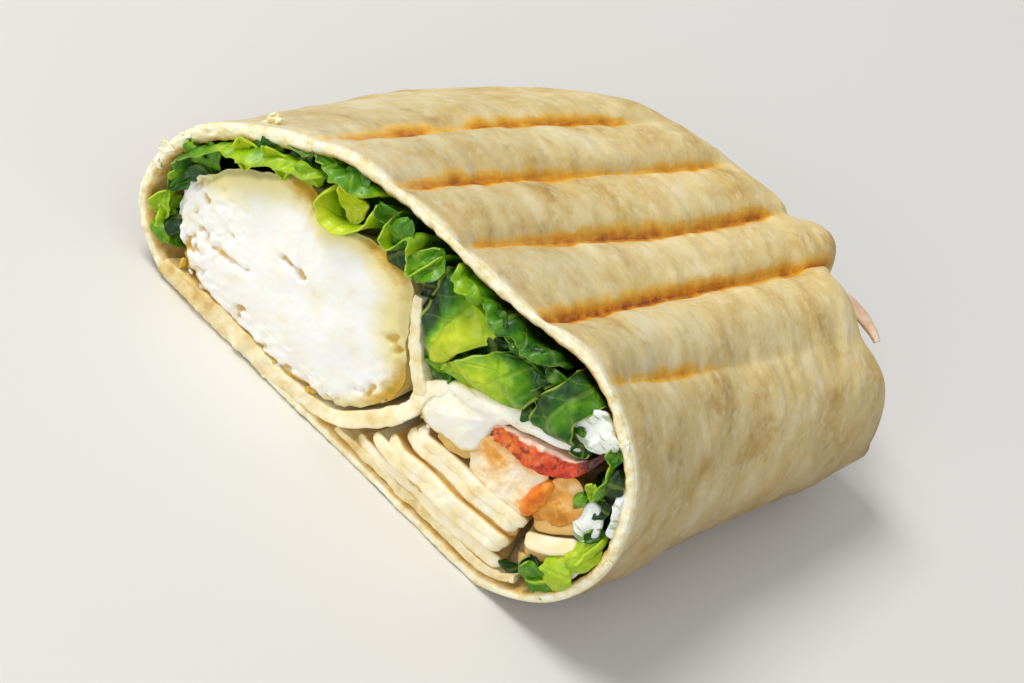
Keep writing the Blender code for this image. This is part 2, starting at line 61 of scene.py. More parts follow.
# The cut's outline over the top, from its far side to its near one, and back underneath
CUT_TOP = ((45.4, 16.0), (43.2, 25.5), (35.5, 33.5), (23.5, 41.0), (8.0, 43.0), (-8.0, 43.2),
           (-21.5, 45.0), (-33.0, 39.5), (-41.0, 31.0), (-45.0, 18.5))
CUT_BOTTOM = ((-42.3, 7.5), (-34.5, 0.9), (-27.0, 0.0), (0.0, 0.0), (27.0, 0.0), (35.5, 1.2),
              (43.2, 7.5))
# The wall's thickness, and how far the roll is looser inside, which starts behind the cut
WALL, INSIDE_ROOM, ROOM_DEPTH = 1.9, 1.4, 9.0
# How far the wrap reaches at places across its closed end: the fourth land sticks out there
END_REACH = ((42.5, 57.0), (37.0, 71.5), (27.0, 85.0), (20.0, 89.3), (15.0, 93.6), (10.0, 96.5),
             (6.0, 99.8), (2.8, 101.2), (1.0, 105.0), (-1.0, 107.4), (-3.5, 108.0), (-6.5, 106.4),
             (-8.4, 102.2), (-10.0, 97.5), (-20.0, 98.0), (-24.5, 101.4), (-27.5, 103.4),
             (-29.5, 103.8), (-31.5, 103.2), (-33.2, 101.2), (-34.4, 98.4), (-35.2, 95.5))
END_ROUND, END_EDGE_HEIGHT, END_THICKNESS = 13.0, 13.0, 12.0
REACH_BLUR = (-0.9, -0.45, 0.0, 0.45, 0.9)
# Each groove: where it crosses the cut, the middle and the closed end, how deep it is near the
# cut and which share of that is left at the closed end
GROOVES = ((27.2, 24.6, 21.6, 0.8, 1.0), (15.0, 13.2, 12.4, 0.9, 1.0), (3.2, 1.0, 3.4, 1.0, 1.0),
           (-11.9, -9.6, -7.4, 1.15, 1.0), (-24.0, -23.0, -21.5, 0.5, 0.25))
GROOVE_FADE, GROOVE_PITCH, GROOVE_DEPTH = (35.0, 75.0), 12.2, 1.5
UNDERSIDE_DEPTH, LAND_PUFF = 0.8, 0.8
# A groove is a soft valley with a sharper crease in it: half width and share of the depth
VALLEY, CREASE = (3.1, 0.6), (0.85, 0.55)
# The tuck at the closed end's far side has no grooves: where it starts across and along the roll
TUCK_SIDE, TUCK_DEPTH = (0.0, 4.0), (-17.0, -8.0)
# The grooves are shallower near the cut, and fade where the wall turns down at the sides
RELIEF_AT_CUT, RELIEF_HEIGHTS = 0.35, (8.0, 16.0)
# How brown each groove is along the roll, as (place along the roll, browning)
BROWNING = (((-8, 0.2), (-3, 0.4), (4, 0.6), (12, 0.95), (17, 0.35), (23, 0.3), (27, 0.85),
             (40, 0.75), (52, 0.75), (63, 0.55), (68, 0.0)),
            ((-3, 0.25), (0, 0.75), (14, 0.85), (24, 0.7), (34, 0.45), (46, 0.25), (58, 0.2),
             (63, 0.5), (76, 0.5), (84, 0.0)),
            ((1, 0.0), (4, 0.45), (9, 0.4), (14, 0.35), (20, 0.5), (32, 0.85), (48, 0.9),
             (60, 0.65), (70, 0.85), (82, 0.85), (87, 0.2), (92, 0.0)),
            ((1, 0.0), (4, 0.95), (16, 1.05), (26, 1.0), (36, 1.1), (50, 0.95), (60, 0.7),
             (70, 0.45), (80, 0.7), (92, 0.65), (98, 0.3)),
            ((5, 0.0), (8, 0.3), (16, 0.25), (22, 0.35), (31, 0.5), (38, 0.25), (46, 0.15),
             (54, 0.0)))
# A mark's core and its golden halo, which spreads further up the far side of the groove
BROWN_SHIFT, CORE_HALF_WIDTH, HALO_FAR, HALO_NEAR = 0.1, 0.7, 2.3, 0.7
CORE_SHARE, HALO_SHARE, STRAY = 0.62, 0.38, (0.35, 4.0, 3)
# Painted shade: low down the dough is painted darker brown, for the shade on its lower sides
LOW_SHADE_START, LOW_SHADE_END, LOW_SHADE_SHARE = 29.0, 4.0, 0.95
# Painted shade: the far lands are painted a little darker, to even out the stronger light on them
FAR_SHADE_START, FAR_SHADE_END, FAR_SHADE = 8.0, 34.0, 0.9
# The dough is darker near the cut and paler further into the roll
CUT_TONE_END, CUT_TONE, INNER_TONE = 60.0, 0.84, 1.05
# Unevenness of the outside, as its height, its size round the wrap and along it, and a seed:
# pleats run across the lands and pucker where a land meets a groove
PLEATS, PLEAT_SIZE, PUCKER, ROUGH_DEPTH = 0.2, (6.0, 2.6), 0.16, 4.0
FINE_PLEATS, WAVES, LUMPS = (0.07, (2.2, 1.1), 8), (0.34, (9.0, 6.0), 2), (0.4, 13.0, 4)
# The rim is rounded, ragged, unevenly thick, and thicker at its far upper lip, where the
# tortilla's outer edge lies double
RIM_POINTS, RIM_ROUND, RIM_DEPTH = 9, 0.5, 4.0
LIP_ROOM, LIP_C, LIP_Z = 0.8, (22.0, 34.0), (14.0, 22.0)
RAGGED, FINE_RAGGED, RIM_GRAIN = (0.3, 5.0, 5), (0.22, 1.3, 6), (0.25, 0.9, 7)
THICK_UNEVEN, THICK_FINE = (0.2, 6.0, 9), (0.16, 1.7, 10)
# Pale dough shows on the rim and a little way round its outer edge, and less of it along the far
# lip and the fourth land: how much, how deep it goes and where it lies on the cut
CRUMB_DEPTH, FAR_PALE, FAR_PALE_DEPTH, FAR_PALE_C, FAR_PALE_Z = 1.3, 0.55, 7.0, (6.0, 32.0), (14.0, 24.0)
FOURTH_PALE, FOURTH_PALE_DEPTH, FOURTH_LAND_C, FOURTH_LAND_Z = 0.34, 45.0, (-2.5, 4.5), (30.0, 35.0)
# The inside is stained with juice from this row behind the rim's outer edge on
JUICE_ROWS = (4.95, 7.95)
STRAIGHT_RINGS, ROUND_RINGS, INSIDE_RINGS = 128, 26, 14
SIDE_COLUMNS, GROOVE_COLUMNS, SIDE_GAP, CURVE_STEPS = 42, 111, 0.2, 30
# Rings lie closer together near the cut, and the inside's last ones are this much flatter
OUTSIDE_CROWDING, INSIDE_CROWDING, INSIDE_CLOSING = 1.1, 1.6, (0.6, 0.0)
NEXT_DRAW = 31.7


def rise(value, start, end):
    """0 at the start and before, 1 at the end and beyond, a soft step between; either may be lower."""
    share = np.clip((value - start) / (end - start), 0.0, 1.0)
    return share * share * (3.0 - 2.0 * share)


def bell(value, middle, half_width):
    """1 at the middle, and falling softly to 0 on both sides."""
    return np.exp(-((value - middle) / half_width) ** 2)


def smooth_curve(points, closed=False, steps=CURVE_STEPS):
    """Dense points on a smooth curve through the given points."""
    points = np.asarray(points, float)
    if closed:
        points = np.vstack([points[-1], points, points[:2]])
    else:
        points = np.vstack([2 * points[0] - points[1], points, 2 * points[-1] - points[-2]])
    dense = []
    for before, start, end, after in zip(points, points[1:], points[2:], points[3:]):
        for t in np.linspace(0.0, 1.0, steps, endpoint=False):
            pull = (end - before) * t
            bend = (2 * before - 5 * start + 4 * end - after) * t ** 2
            twist = (3 * start - before - 3 * end + after) * t ** 3
            dense.append(start + 0.5 * (pull + bend + twist))
    if not closed:
        dense.append(points[-2])
    return np.array(dense)


def even_steps(curve, count):
    """Points at even distances along a curve, its ends included."""
    lengths = np.linalg.norm(np.diff(curve, axis=0), axis=1)
    along = np.concatenate([[0.0], np.cumsum(lengths)])
    wanted = np.linspace(0.0, along[-1], count)
    return np.stack([np.interp(wanted, along, column) for column in curve.T], axis=1)


def body(c, z, depth):
    """Place in the roll behind the place (c, z) on the cut, at a depth."""
    share = depth / LENGTH
    width = 1.0 - (1.0 - END_WIDTH / CUT_WIDTH) * np.clip(share, 0.0, 1.0) ** NARROWING
    height = 1.0 - (1.0 - END_HEIGHT / CUT_HEIGHT) * share
    level = 1.0 + LEVELLING * c * (1.0 - np.exp(-np.maximum(depth, 0.0) / LEVEL_DEPTH))
    x = depth - c * math.sin(BIAS) * (1.0 - share)
    y = c * math.cos(BIAS) * width + BEND * rise(share, 0.0, BEND_END)
    return np.stack([x, y, z * height * level], axis=-1)


def uneven(places, size, seed=0):
    """Smooth heights between about -1 and 1 at places of one to three numbers.

    The lumps are size millimetres, or a size for each number; each seed gives others.
    """
    spots = np.asarray(places, float) / size
    missing = np.zeros(spots.shape[:-1] + (3 - spots.shape[-1],))
    spots = np.concatenate([spots, missing], axis=-1) + NEXT_DRAW * seed
    heights = [noise.noise(Vector(spot)) for spot in spots.reshape(-1, 3)]
    return np.array(heights).reshape(spots.shape[:-1])


def bumps(places, *kinds, base=0.0):
    """A base height with several kinds of unevenness on it, each given as (height, size, seed)."""
    return sum((height * uneven(places, size, seed) for height, size, seed in kinds), base)


def groove_rows(share):
    """Places across the roll of the grooves, and one more on each side, at a share of the depth."""
    rows = [np.interp(share, (0.0, 0.5, 1.0), groove[:3]) for groove in GROOVES]
    return np.array([rows[0] + GROOVE_PITCH] + rows + [rows[-1] - GROOVE_PITCH])


def outline_ring(share):
    """The outline's points at a share of the roll's depth, over the top and back underneath."""
    outline = smooth_curve(CUT_TOP + CUT_BOTTOM, closed=True)
    outline[:, 1] = np.maximum(outline[:, 1], 0.0)
    turn = (len(CUT_TOP) - 1) * CURVE_STEPS
    arcs = outline[:turn + 1], np.vstack([outline[turn:], outline[:1]])[::-1]
    depth = share * LENGTH
    samples = np.linspace(0.5, len(GROOVES) + 0.5, GROOVE_COLUMNS)
    wanted = np.interp(samples, np.arange(len(GROOVES) + 2), groove_rows(share))
    start = body(0.0, 0.0, depth)[1]
    wanted = (wanted - start) / (body(1.0, 0.0, depth)[1] - start)
    lines = []
    for arc in arcs:
        middle = np.stack([wanted, np.interp(wanted, arc[::-1, 0], arc[::-1, 1])], axis=1)
        far = np.vstack([arc[arc[:, 0] > wanted[0] + SIDE_GAP], middle[:1]])
        near = np.vstack([middle[-1:], arc[arc[:, 0] < wanted[-1] - SIDE_GAP]])
        lines.append(np.vstack([even_steps(far, SIDE_COLUMNS + 2)[:-1], middle,
                                even_steps(near, SIDE_COLUMNS + 2)[1:]]))
    return np.vstack([lines[0], lines[1][-2:0:-1]])


def groove_relief(ring, depth, reach, share, heights):
    """How far the grooves press a ring in and the lands puff it out; its browning and its puff."""
    across = ring[:, 1]
    pressed = np.zeros_like(across)
    brown = np.zeros_like(across)
    distance = np.full_like(across, GROOVE_PITCH)
    stray = bumps(ring * (1.0, 0.2, 0.2), STRAY)
    for row, (*_, strength, left), along in zip(groove_rows(share)[1:-1], GROOVES, BROWNING):
        gap = np.abs(across - row)
        distance = np.minimum(distance, gap)
        valley = VALLEY[1] * (1.0 - rise(gap, 0.0, VALLEY[0]))
        valley += CREASE[1] * bell(gap, 0.0, CREASE[0])
        pressed += strength * np.interp(ring[:, 0], GROOVE_FADE, (1.0, left)) * valley
        toasted = np.interp(ring[:, 0], *np.array(along, float).T)
        gap = across - row - BROWN_SHIFT + stray
        halo = bell(gap, 0.0, np.where(gap > 0.0, HALO_FAR, HALO_NEAR))
        brown += toasted * (CORE_SHARE * bell(gap, 0.0, CORE_HALF_WIDTH) + HALO_SHARE * halo)
    puffed = rise(distance, 0.0, GROOVE_PITCH / 2)
    above = heights > MIDDLE_HEIGHT
    relief = np.where(above, LAND_PUFF * puffed - GROOVE_DEPTH * pressed, UNDERSIDE_DEPTH * pressed)
    from_cut = RELIEF_AT_CUT + (1.0 - RELIEF_AT_CUT) * rise(depth, 0.0, ROOM_DEPTH)
    flatness = rise(np.abs(heights - MIDDLE_HEIGHT), *RELIEF_HEIGHTS)
    tucked = rise(depth - reach, *TUCK_DEPTH) * rise(across, *TUCK_SIDE)
    return relief * flatness * from_cut * (1.0 - tucked), brown * flatness, puffed


def fold_flat(ring):
    """Lays the lower half of a ring on its upper half, which closes it along its edge."""
    upper_count = len(ring) // 2 + 1
    ring[upper_count:] = ring[1:upper_count - 1][::-1]


def grid_faces(rows, columns, closed=False):
    """Four-sided faces between neighbouring rows of a grid."""
    faces = []
    for i in range(rows - 1):
        for j in range(columns if closed else columns - 1):
            a = i * columns + j
            b = i * columns + (j + 1) % columns
            faces.append((a, b, b + columns, a + columns))
    return faces


def cap_faces(rows, columns):
    """Fans that close a grid of rings: round one place before the first ring and one after the last.

    Those two places follow the grid's own.
    """
    count = rows * columns
    last = count - columns
    faces = []
    for j in range(columns):
        following = (j + 1) % columns
        faces += [(count, following, j), (count + 1, last + j, last + following)]
    return faces


def bare_mesh(name, places, faces, **marks):
    """A mesh with its normals outward; marks are values or vectors for each place."""
    mesh = bpy.data.meshes.new(name)
    mesh.from_pydata(((np.asarray(places) - ORIGIN) * METRES).tolist(), [], faces)
    for mark, values in marks.items():
        values = np.asarray(values, float)
        kind, field = ("FLOAT", "value") if values.ndim == 1 else ("FLOAT_VECTOR", "vector")
        mesh.attributes.new(mark, kind, "POINT").data.foreach_set(field, values.ravel())
    bm = bmesh.new()
    bm.from_mesh(mesh)
    bmesh.ops.remove_doubles(bm, verts=bm.verts, dist=1e-6)
    bmesh.ops.recalc_face_normals(bm, faces=bm.faces)
    bm.to_mesh(mesh)
    bm.free()
    return mesh


def shown(name, data):
    """Puts a mesh, a lamp or a camera into the scene."""
    made = bpy.data.objects.new(name, data)
    bpy.context.scene.collection.objects.link(made)
    return made


def placed(name, mesh, replaced=(), sharp=60.0):
    """A finished mesh as a piece that rides on the wrap."""
    mesh.shade_smooth()
    mesh.set_sharp_from_angle(angle=math.radians(sharp))
    made = shown(name, mesh)
    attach(made, "root")
    if replaced:
        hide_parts(*replaced)


def piece(name, places, faces, material, slot, replaced=(), sharp=60.0, **marks):
    """Makes a mesh and places it, with its material."""
    mesh = bare_mesh(name, places, faces, **marks)
    mesh.materials.append(material)
    placed(name, mesh, replaced, sharp)


def linear(colour):
    """An sRGB hex colour as linear red, green, blue and alpha."""
    parts = [int(colour[i:i + 2], 16) / 255 for i in (0, 2, 4)]
    return tuple(v / 12.92 if v <= 0.04045 else ((v + 0.055) / 1.055) ** 2.4 for v in parts) + (1.0,)


def node(tree, kind, sockets=None, stops=None, **settings):
    """Adds a node: its settings, a value or another node's output for each socket, its stops."""
    made = tree.nodes.new(kind)
    for name, value in settings.items():
        setattr(made, name, value)
    for name, value in (sockets or {}).items():
        if isinstance(value, bpy.types.NodeSocket):
            tree.links.new(value, made.inputs[name])
        else:
            made.inputs[name].default_value = value
    for place, colour in stops or ():
        ramp = made.color_ramp.elements
        stop = ramp[0] if place == stops[0][0] else ramp[-1] if place == stops[-1][0] else ramp.new(place)
        stop.position = place
        stop.color = linear(colour)
    return made


class Food:
    """A food's material. Its constants are on the shader's own sockets; each method adds a node."""

    def __init__(self, name, roughness, ior, subsurface=0.0, subsurface_size=1.0, coat=0.0):
        self.material = bpy.data.materials.new(name)
        self.material.use_nodes = True
        self.tree = self.material.node_tree
        self.shader = self.tree.nodes["Principled BSDF"]
        constants = {"Roughness": roughness, "IOR": ior, "Subsurface Weight": subsurface,
                     "Subsurface Radius": (1.0, 0.6, 0.35), "Subsurface Scale": subsurface_size * METRES,
                     "Coat Weight": coat, "Coat Roughness": 0.15}
        for socket, value in constants.items():
            self.shader.inputs[socket].default_value = value
        self.place = self.add("TexCoord")["Object"]

    def add(self, kind, sockets=None, stops=None, **settings):
        """A node of this material; gives its outputs."""
        return node(self.tree, "ShaderNode" + kind, sockets, stops, **settings).outputs

    def mark(self, name, output="Fac"):
        """The values that the mesh carries under a name."""
        return self.add("Attribute", attribute_name=name)[output]

    def axis(self, vector, letter):
        """One part, X, Y or Z, of a vector."""
        return self.add("SeparateXYZ", {"Vector": vector})[letter]

    def clouds(self, size, detail, roughness, place=None, stretch=None, distortion=0.0):
        """Noise with lumps of size millimetres, divided by stretch along each axis."""
        place = place or self.place
        if stretch:
            place = self.add("VectorMath", {0: place, 1: stretch}, operation="MULTIPLY")[0]
        return self.add("TexNoise", {"Vector": place, "Scale": 1 / (size * METRES), "Detail": detail,
                                     "Roughness": roughness, "Distortion": distortion})["Fac"]

    def cells(self, size, place=None, feature="F1"):
        """How far a place is from the middle of its cell, for cells of size millimetres."""
        return self.add("TexVoronoi", {"Vector": place or self.place, "Scale": 1 / (size * METRES)},
                        feature=feature)["Distance"]

    def math(self, operation, *values):
        """One number worked out from others."""
        return self.add("Math", dict(enumerate(values)), operation=operation)[0]

    def fade(self, value, start, end, low=0.0, high=1.0, kind="SMOOTHSTEP"):
        """Goes from low to high while the value goes from start to end."""
        limits = {"Value": value, "From Min": start, "From Max": end, "To Min": low, "To Max": high}
        return self.add("MapRange", limits, interpolation_type=kind)["Result"]

    def ramp(self, value, *stops):
        """A colour for each value, blended between stops of a value and an sRGB hex colour."""
        return self.add("ValToRGB", {"Fac": value}, stops)["Color"]

    def mix(self, share, first, second):
        """Blends a colour into another one, which may be an sRGB hex colour."""
        second = linear(second) if isinstance(second, str) else second
        return self.add("Mix", {0: share, 6: first, 7: second}, data_type="RGBA")[2]

    def shaded(self, colour, factor):
        """The colour made darker or brighter."""
        return self.add("VectorMath", {0: colour, "Scale": factor}, operation="SCALE")[0]

    def finish(self, colour, height, strength, depth):
        """The material with its colour, and bumps depth millimetres high."""
        normal = self.add("Bump", {"Strength": strength, "Distance": depth * METRES, "Height": height})[0]
        self.tree.links.new(colour, self.shader.inputs["Base Color"])
        self.tree.links.new(normal, self.shader.inputs["Normal"])
        return self.material


def toasted_tortilla():
    """Toasted wheat tortilla: matt floury dough, mottled tan, browned in the grooves, pale at the cut."""
    look = Food("toasted_wheat_tortilla", 0.6, 1.45, subsurface=0.1)
    skin = look.mark("skin", "Vector")
    base = look.ramp(look.clouds(9.0, 6.0, 0.6), (0.3, "f4e6ba"), (0.44, "ead498"), (0.56, "dfc37f"),
                     (0.67, "cba860"), (0.8, "ae8a48"))
    flour = look.clouds(2.2, 4.0, 0.6)
    base = look.mix(look.fade(flour, 0.5, 0.7, 0.0, 0.5, "LINEAR"), base, "f8ebc4")
    spots = look.fade(look.cells(5.5), 0.05, 0.36, 1.0, 0.0)
    toasted = look.math("MULTIPLY", spots, look.fade(flour, 0.62, 0.38, 0.0, 0.45, "LINEAR"))
    base = look.mix(toasted, base, "a78446")
    # Painted shade: darker brown towards the bottom
    low = look.fade(look.axis(look.place, "Z"), LOW_SHADE_END * METRES, LOW_SHADE_START * METRES, LOW_SHADE_SHARE, 0.0)
    base = look.mix(low, base, "8a6d3c")
    # Painted shade: darker towards the far side
    far = look.fade(look.axis(look.place, "Y"), FAR_SHADE_START * METRES, FAR_SHADE_END * METRES, 1.0, FAR_SHADE)
    base = look.shaded(base, far)
    # Darker near the cut, paler further in
    depth_tone = look.fade(look.axis(skin, "Y"), 0.0, CUT_TONE_END * METRES, CUT_TONE, INNER_TONE)
    base = look.shaded(base, depth_tone)

    # The marks are streaky across the groove and broken along it
    streaks = look.clouds(1.0, 3.0, 0.65, skin, stretch=(1 / 0.6, 1 / 2.2, 0.0))
    browned = look.math("MULTIPLY", look.mark("grill"), look.fade(streaks, 0.3, 0.7, 0.75, 1.2, "LINEAR"))
    breaks = look.fade(look.clouds(4.5, 4.0, 0.65), 0.34, 0.6, 0.55, 1.15, "LINEAR")
    browned = look.math("MULTIPLY", browned, breaks)
    brown = look.ramp(browned, (0.06, "eccf88"), (0.2, "e9ba50"), (0.38, "e0a128"), (0.58, "cf8512"),
                      (0.8, "b4680a"), (1.0, "8f4c08"))
    base = look.mix(look.fade(browned, 0.06, 0.22), base, brown)

    torn = look.clouds(1.8, 4.0, 0.62)
    dough = look.ramp(torn, (0.3, "e2cd8a"), (0.42, "efe4b4"), (0.56, "f7f2d4"), (0.7, "fcf9e9"))
    stained = look.ramp(torn, (0.3, "c8963a"), (0.5, "deb868"), (0.72, "eed69a"))
    dough = look.mix(look.mark("juice"), dough, stained)
    colour = look.mix(look.mark("crumb"), base, dough)
    pleats = look.clouds(1.0, 3.0, 0.6, skin, stretch=(1 / 4.5, 1 / 2.4, 0.0))
    pores = look.clouds(0.5, 3.0, 0.7)
    return look.finish(colour, look.math("MULTIPLY_ADD", pleats, 2.4, pores), 0.55, 0.12)


def end_reach():
    """How far the wall reaches at each column of a ring, over the top and back underneath."""
    top = outline_ring(1.0)
    top = top[:len(top) // 2 + 1]
    end_y = body(top[:, 0], top[:, 1], LENGTH)[:, 1]
    places, depths = np.array(END_REACH)[::-1].T
    reach = np.mean([np.interp(end_y + blur, places, depths) for blur in REACH_BLUR], axis=0)
    return np.concatenate([reach, reach[-2:0:-1]])


def wall_outside(reach):
    """The outside's rings from the cut to the closed end, with their browning, skin and depths."""
    rings, browns, puffs, deeps = [], [], [], []
    for k in range(STRAIGHT_RINGS + ROUND_RINGS + 1):
        turn = math.pi / 2 * max(k - STRAIGHT_RINGS, 0) / ROUND_RINGS
        straight = min(k / STRAIGHT_RINGS, 1.0) ** OUTSIDE_CROWDING
        depth = np.maximum(straight * (reach - END_ROUND), RIM_ROUND) + END_ROUND * math.sin(turn)
        share = min(depth.mean() / LENGTH, 1.0)
        lines = outline_ring(share)
        ring = body(lines[:, 0], lines[:, 1], depth)
        relief, brown, puffed = groove_relief(ring, depth, reach, share, lines[:, 1])
        ring[:, 2] = END_EDGE_HEIGHT + (ring[:, 2] + relief - END_EDGE_HEIGHT) * math.cos(turn)
        rings.append(ring)
        browns.append(brown * max(math.cos(turn), 0.0) ** 0.5)
        puffs.append(puffed * math.cos(turn))
        deeps.append(depth)
    rings, browns, puffs, deeps = (np.array(rows) for rows in (rings, browns, puffs, deeps))
    steps = np.linalg.norm(np.diff(rings[0], axis=0, append=rings[0][:1]), axis=1)
    skin = np.stack([np.broadcast_to(np.cumsum(steps), deeps.shape), deeps], axis=-1)
    normals = np.cross(np.roll(rings, -1, axis=1) - np.roll(rings, 1, axis=1), np.gradient(rings, axis=0))
    normals /= np.linalg.norm(normals, axis=2, keepdims=True) + 1e-9
    rough = uneven(skin, PLEAT_SIZE, seed=1) * (PLEATS + PUCKER * (1.0 - puffs))
    rough += bumps(skin, FINE_PLEATS)
    rough += bumps(skin, WAVES) + bumps(rings, LUMPS)
    rough *= rise(deeps, 0.0, ROUGH_DEPTH)
    rough *= np.cos(np.clip((deeps - reach + END_ROUND) / END_ROUND, 0.0, 1.0) * 1.5)
    rings += normals * rough[..., None]
    rings[..., 2] = np.maximum(rings[..., 2], 0.0)
    fold_flat(rings[-1])
    return rings, browns, skin, deeps


def beside(steps):
    """The directions at right angles to a closed line, each of length one."""
    along = np.roll(steps, -1, axis=0) - np.roll(steps, 1, axis=0)
    across = np.stack([along[:, 1], -along[:, 0]], axis=1)
    return across / np.linalg.norm(across, axis=1, keepdims=True)


def wall_rim_and_inside(reach):
    """The rim's rings and the inside's, from the cut to near the closed end."""
    lines = outline_ring(0.0)
    inward = -beside(lines)
    ragged = bumps(lines, RAGGED, FINE_RAGGED)
    thick = WALL * bumps(lines, THICK_UNEVEN, THICK_FINE, base=1.0)
    thick += LIP_ROOM * rise(lines[:, 0], *LIP_C) * rise(lines[:, 1], *LIP_Z)
    rings = []
    for t in np.linspace(0.0, 1.0, RIM_POINTS + 2)[1:-1]:
        place = lines + inward * (thick * t)[:, None]
        depth = bumps(place, RIM_GRAIN, base=RIM_ROUND * abs(2.0 * t - 1.0) ** 3) + ragged
        rings.append(body(place[:, 0], place[:, 1], depth))
    for share in np.linspace(0.0, 1.0, INSIDE_RINGS) ** INSIDE_CROWDING:
        depth = np.maximum(share * (np.minimum(reach, LENGTH) - END_THICKNESS), RIM_ROUND)
        room = INSIDE_ROOM * rise(depth, 0.0, ROOM_DEPTH)
        place = lines + inward * (thick + (WALL - thick) * rise(depth, 0.0, RIM_DEPTH) + room)[:, None]
        rings.append(body(place[:, 0], place[:, 1], depth))
    for flatter in INSIDE_CLOSING:
        ring = rings[-1].copy()
        ring[:, 2] = END_EDGE_HEIGHT + (ring[:, 2] - END_EDGE_HEIGHT) * flatter
        rings.append(ring)
    fold_flat(rings[-1])
    return rings


def tortilla_wall(material):
    """The wall from its closed end over its outside, round the rim and back along its inside."""
    reach = end_reach()
    outside, browns, skin, deeps = wall_outside(reach)
    rings = np.concatenate([outside[::-1], wall_rim_and_inside(reach)])
    c, z = outline_ring(0.0).T
    far = FAR_PALE * rise(c, *FAR_PALE_C) * rise(z, *FAR_PALE_Z)
    fourth = FOURTH_PALE * bell(c, *FOURTH_LAND_C) * rise(z, *FOURTH_LAND_Z)
    pale = np.maximum(far * np.exp(-deeps / FAR_PALE_DEPTH), fourth * np.exp(-deeps / FOURTH_PALE_DEPTH))
    crumb = np.ones(rings.shape[:2])
    crumb[:len(outside)] = np.maximum(1.0 - rise(deeps - RIM_ROUND, 0.0, CRUMB_DEPTH), pale)[::-1]
    grill = np.zeros(rings.shape[:2])
    grill[:len(outside)] = browns[::-1]
    skins = np.zeros(rings.shape)
    skins[:len(outside), :, :2] = skin[::-1] * METRES
    juice = np.zeros(rings.shape[:2])
    juice[len(outside):] = rise(np.arange(len(rings) - len(outside)), *JUICE_ROWS)[:, None]
    piece("tortilla_wall", rings.reshape(-1, 3), grid_faces(len(rings), len(c), closed=True),
          material, "tortilla", ["tortilla"], sharp=80.0, crumb=crumb.ravel(), grill=grill.ravel(),
          skin=skins.reshape(-1, 3), juice=juice.ravel())


tortilla_skin = toasted_tortilla()
tortilla_wall(tortilla_skin)


# The tortilla's inner fold
# The same tortilla goes round under the egg, up beside it and over the small piece of egg, so
# that it parts the fillings. It never touched the grill: soft, pale, moist with their juice.
# How far all the fillings run into the roll, and how much less at its sides. They keep a little
# clear of the wall, wave together and get thinner, and what stands out at the cut soon evens out
FILLING_REACH, SIDE_LOSS, HALF_CUT, FILLING_ROOM, THINNING = 74.0, 20.0, 44.0, 1.8, 0.3
FILLING_WAVE, WAVE_START, RISING_SHARE = 0.45, 25.0, 0.6
SIDE_WAVE, RISING_WAVE, FRONT_POWER = (12.0, 15.0), (10.0, 16.0), 6
# A layer's ruffles calm down within this depth, to this share. Its finer ones have this share of
# their height and are this many times smaller, and its jagged edge has two sizes of teeth
SETTLING, RUFFLE_LEFT, FINE_HEIGHT, FINE_PART, JAG_SIZES = 5.0, 0.25, 0.45, 2.3, (1.1, 0.5)
# A layer droops down to this share of its depth, and its corners are as sharp as this power
DROOP_END, CORNER_POWER = 0.05, 12
# The rows of a filling behind the cut, as shares of its depth
STATIONS = np.array([0.0, 0.004, 0.009, 0.015, 0.022, 0.031, 0.043, 0.058, 0.08, 0.11, 0.16, 0.23,
                     0.33, 0.46, 0.62, 0.8, 1.0])
FOLD_PATH = ((34.0, 2.4), (20.0, 2.4), (8.0, 2.6), (0.0, 4.2), (-5.0, 9.8), (-7.6, 15.4), (-7.6, 20.0),
             (-10.2, 23.4), (-14.5, 25.2), (-18.8, 26.9), (-23.2, 28.7))
BRANCH_PATH = ((-7.6, 18.8), (-4.2, 21.8), (-0.7, 26.2), (2.6, 31.4))
# Under the slices the dough's inner edge lies flat on the wall
UNDERLAY_PATH = ((-1.6, 3.0), (-8.0, 3.3), (-15.0, 3.2), (-22.0, 3.5), (-29.0, 3.4), (-33.4, 4.2),
                 (-36.4, 6.2))
# The dough's cut edge swelled a little where it took up juice, and is uneven along the cut
EDGE_SWELL, EDGE_DEPTH, EDGE_LUMPS, EDGE_GRAIN = 1.2, 2.5, (0.22, 2.4), (0.15, 0.9)


def filling(c, z, share, front=0.0):
    """Place of a filling: its layers narrow and wave together towards the closed end."""
    reach = FILLING_REACH - SIDE_LOSS * (np.abs(c) / HALF_CUT) ** 3
    depth = share * reach + front * (1.0 - share) ** FRONT_POWER
    room = 1.0 - FILLING_ROOM / MIDDLE_HEIGHT * rise(depth, 0.0, ROOM_DEPTH)
    wave = FILLING_WAVE * rise(depth, 0.0, WAVE_START)
    side = wave * np.sin(depth / SIDE_WAVE[0] + z / SIDE_WAVE[1])
    lift = RISING_SHARE * wave * np.sin(depth / RISING_WAVE[0] + c / RISING_WAVE[1])
    return body(c * room + side, MIDDLE_HEIGHT + (z - MIDDLE_HEIGHT) * room + lift, depth)


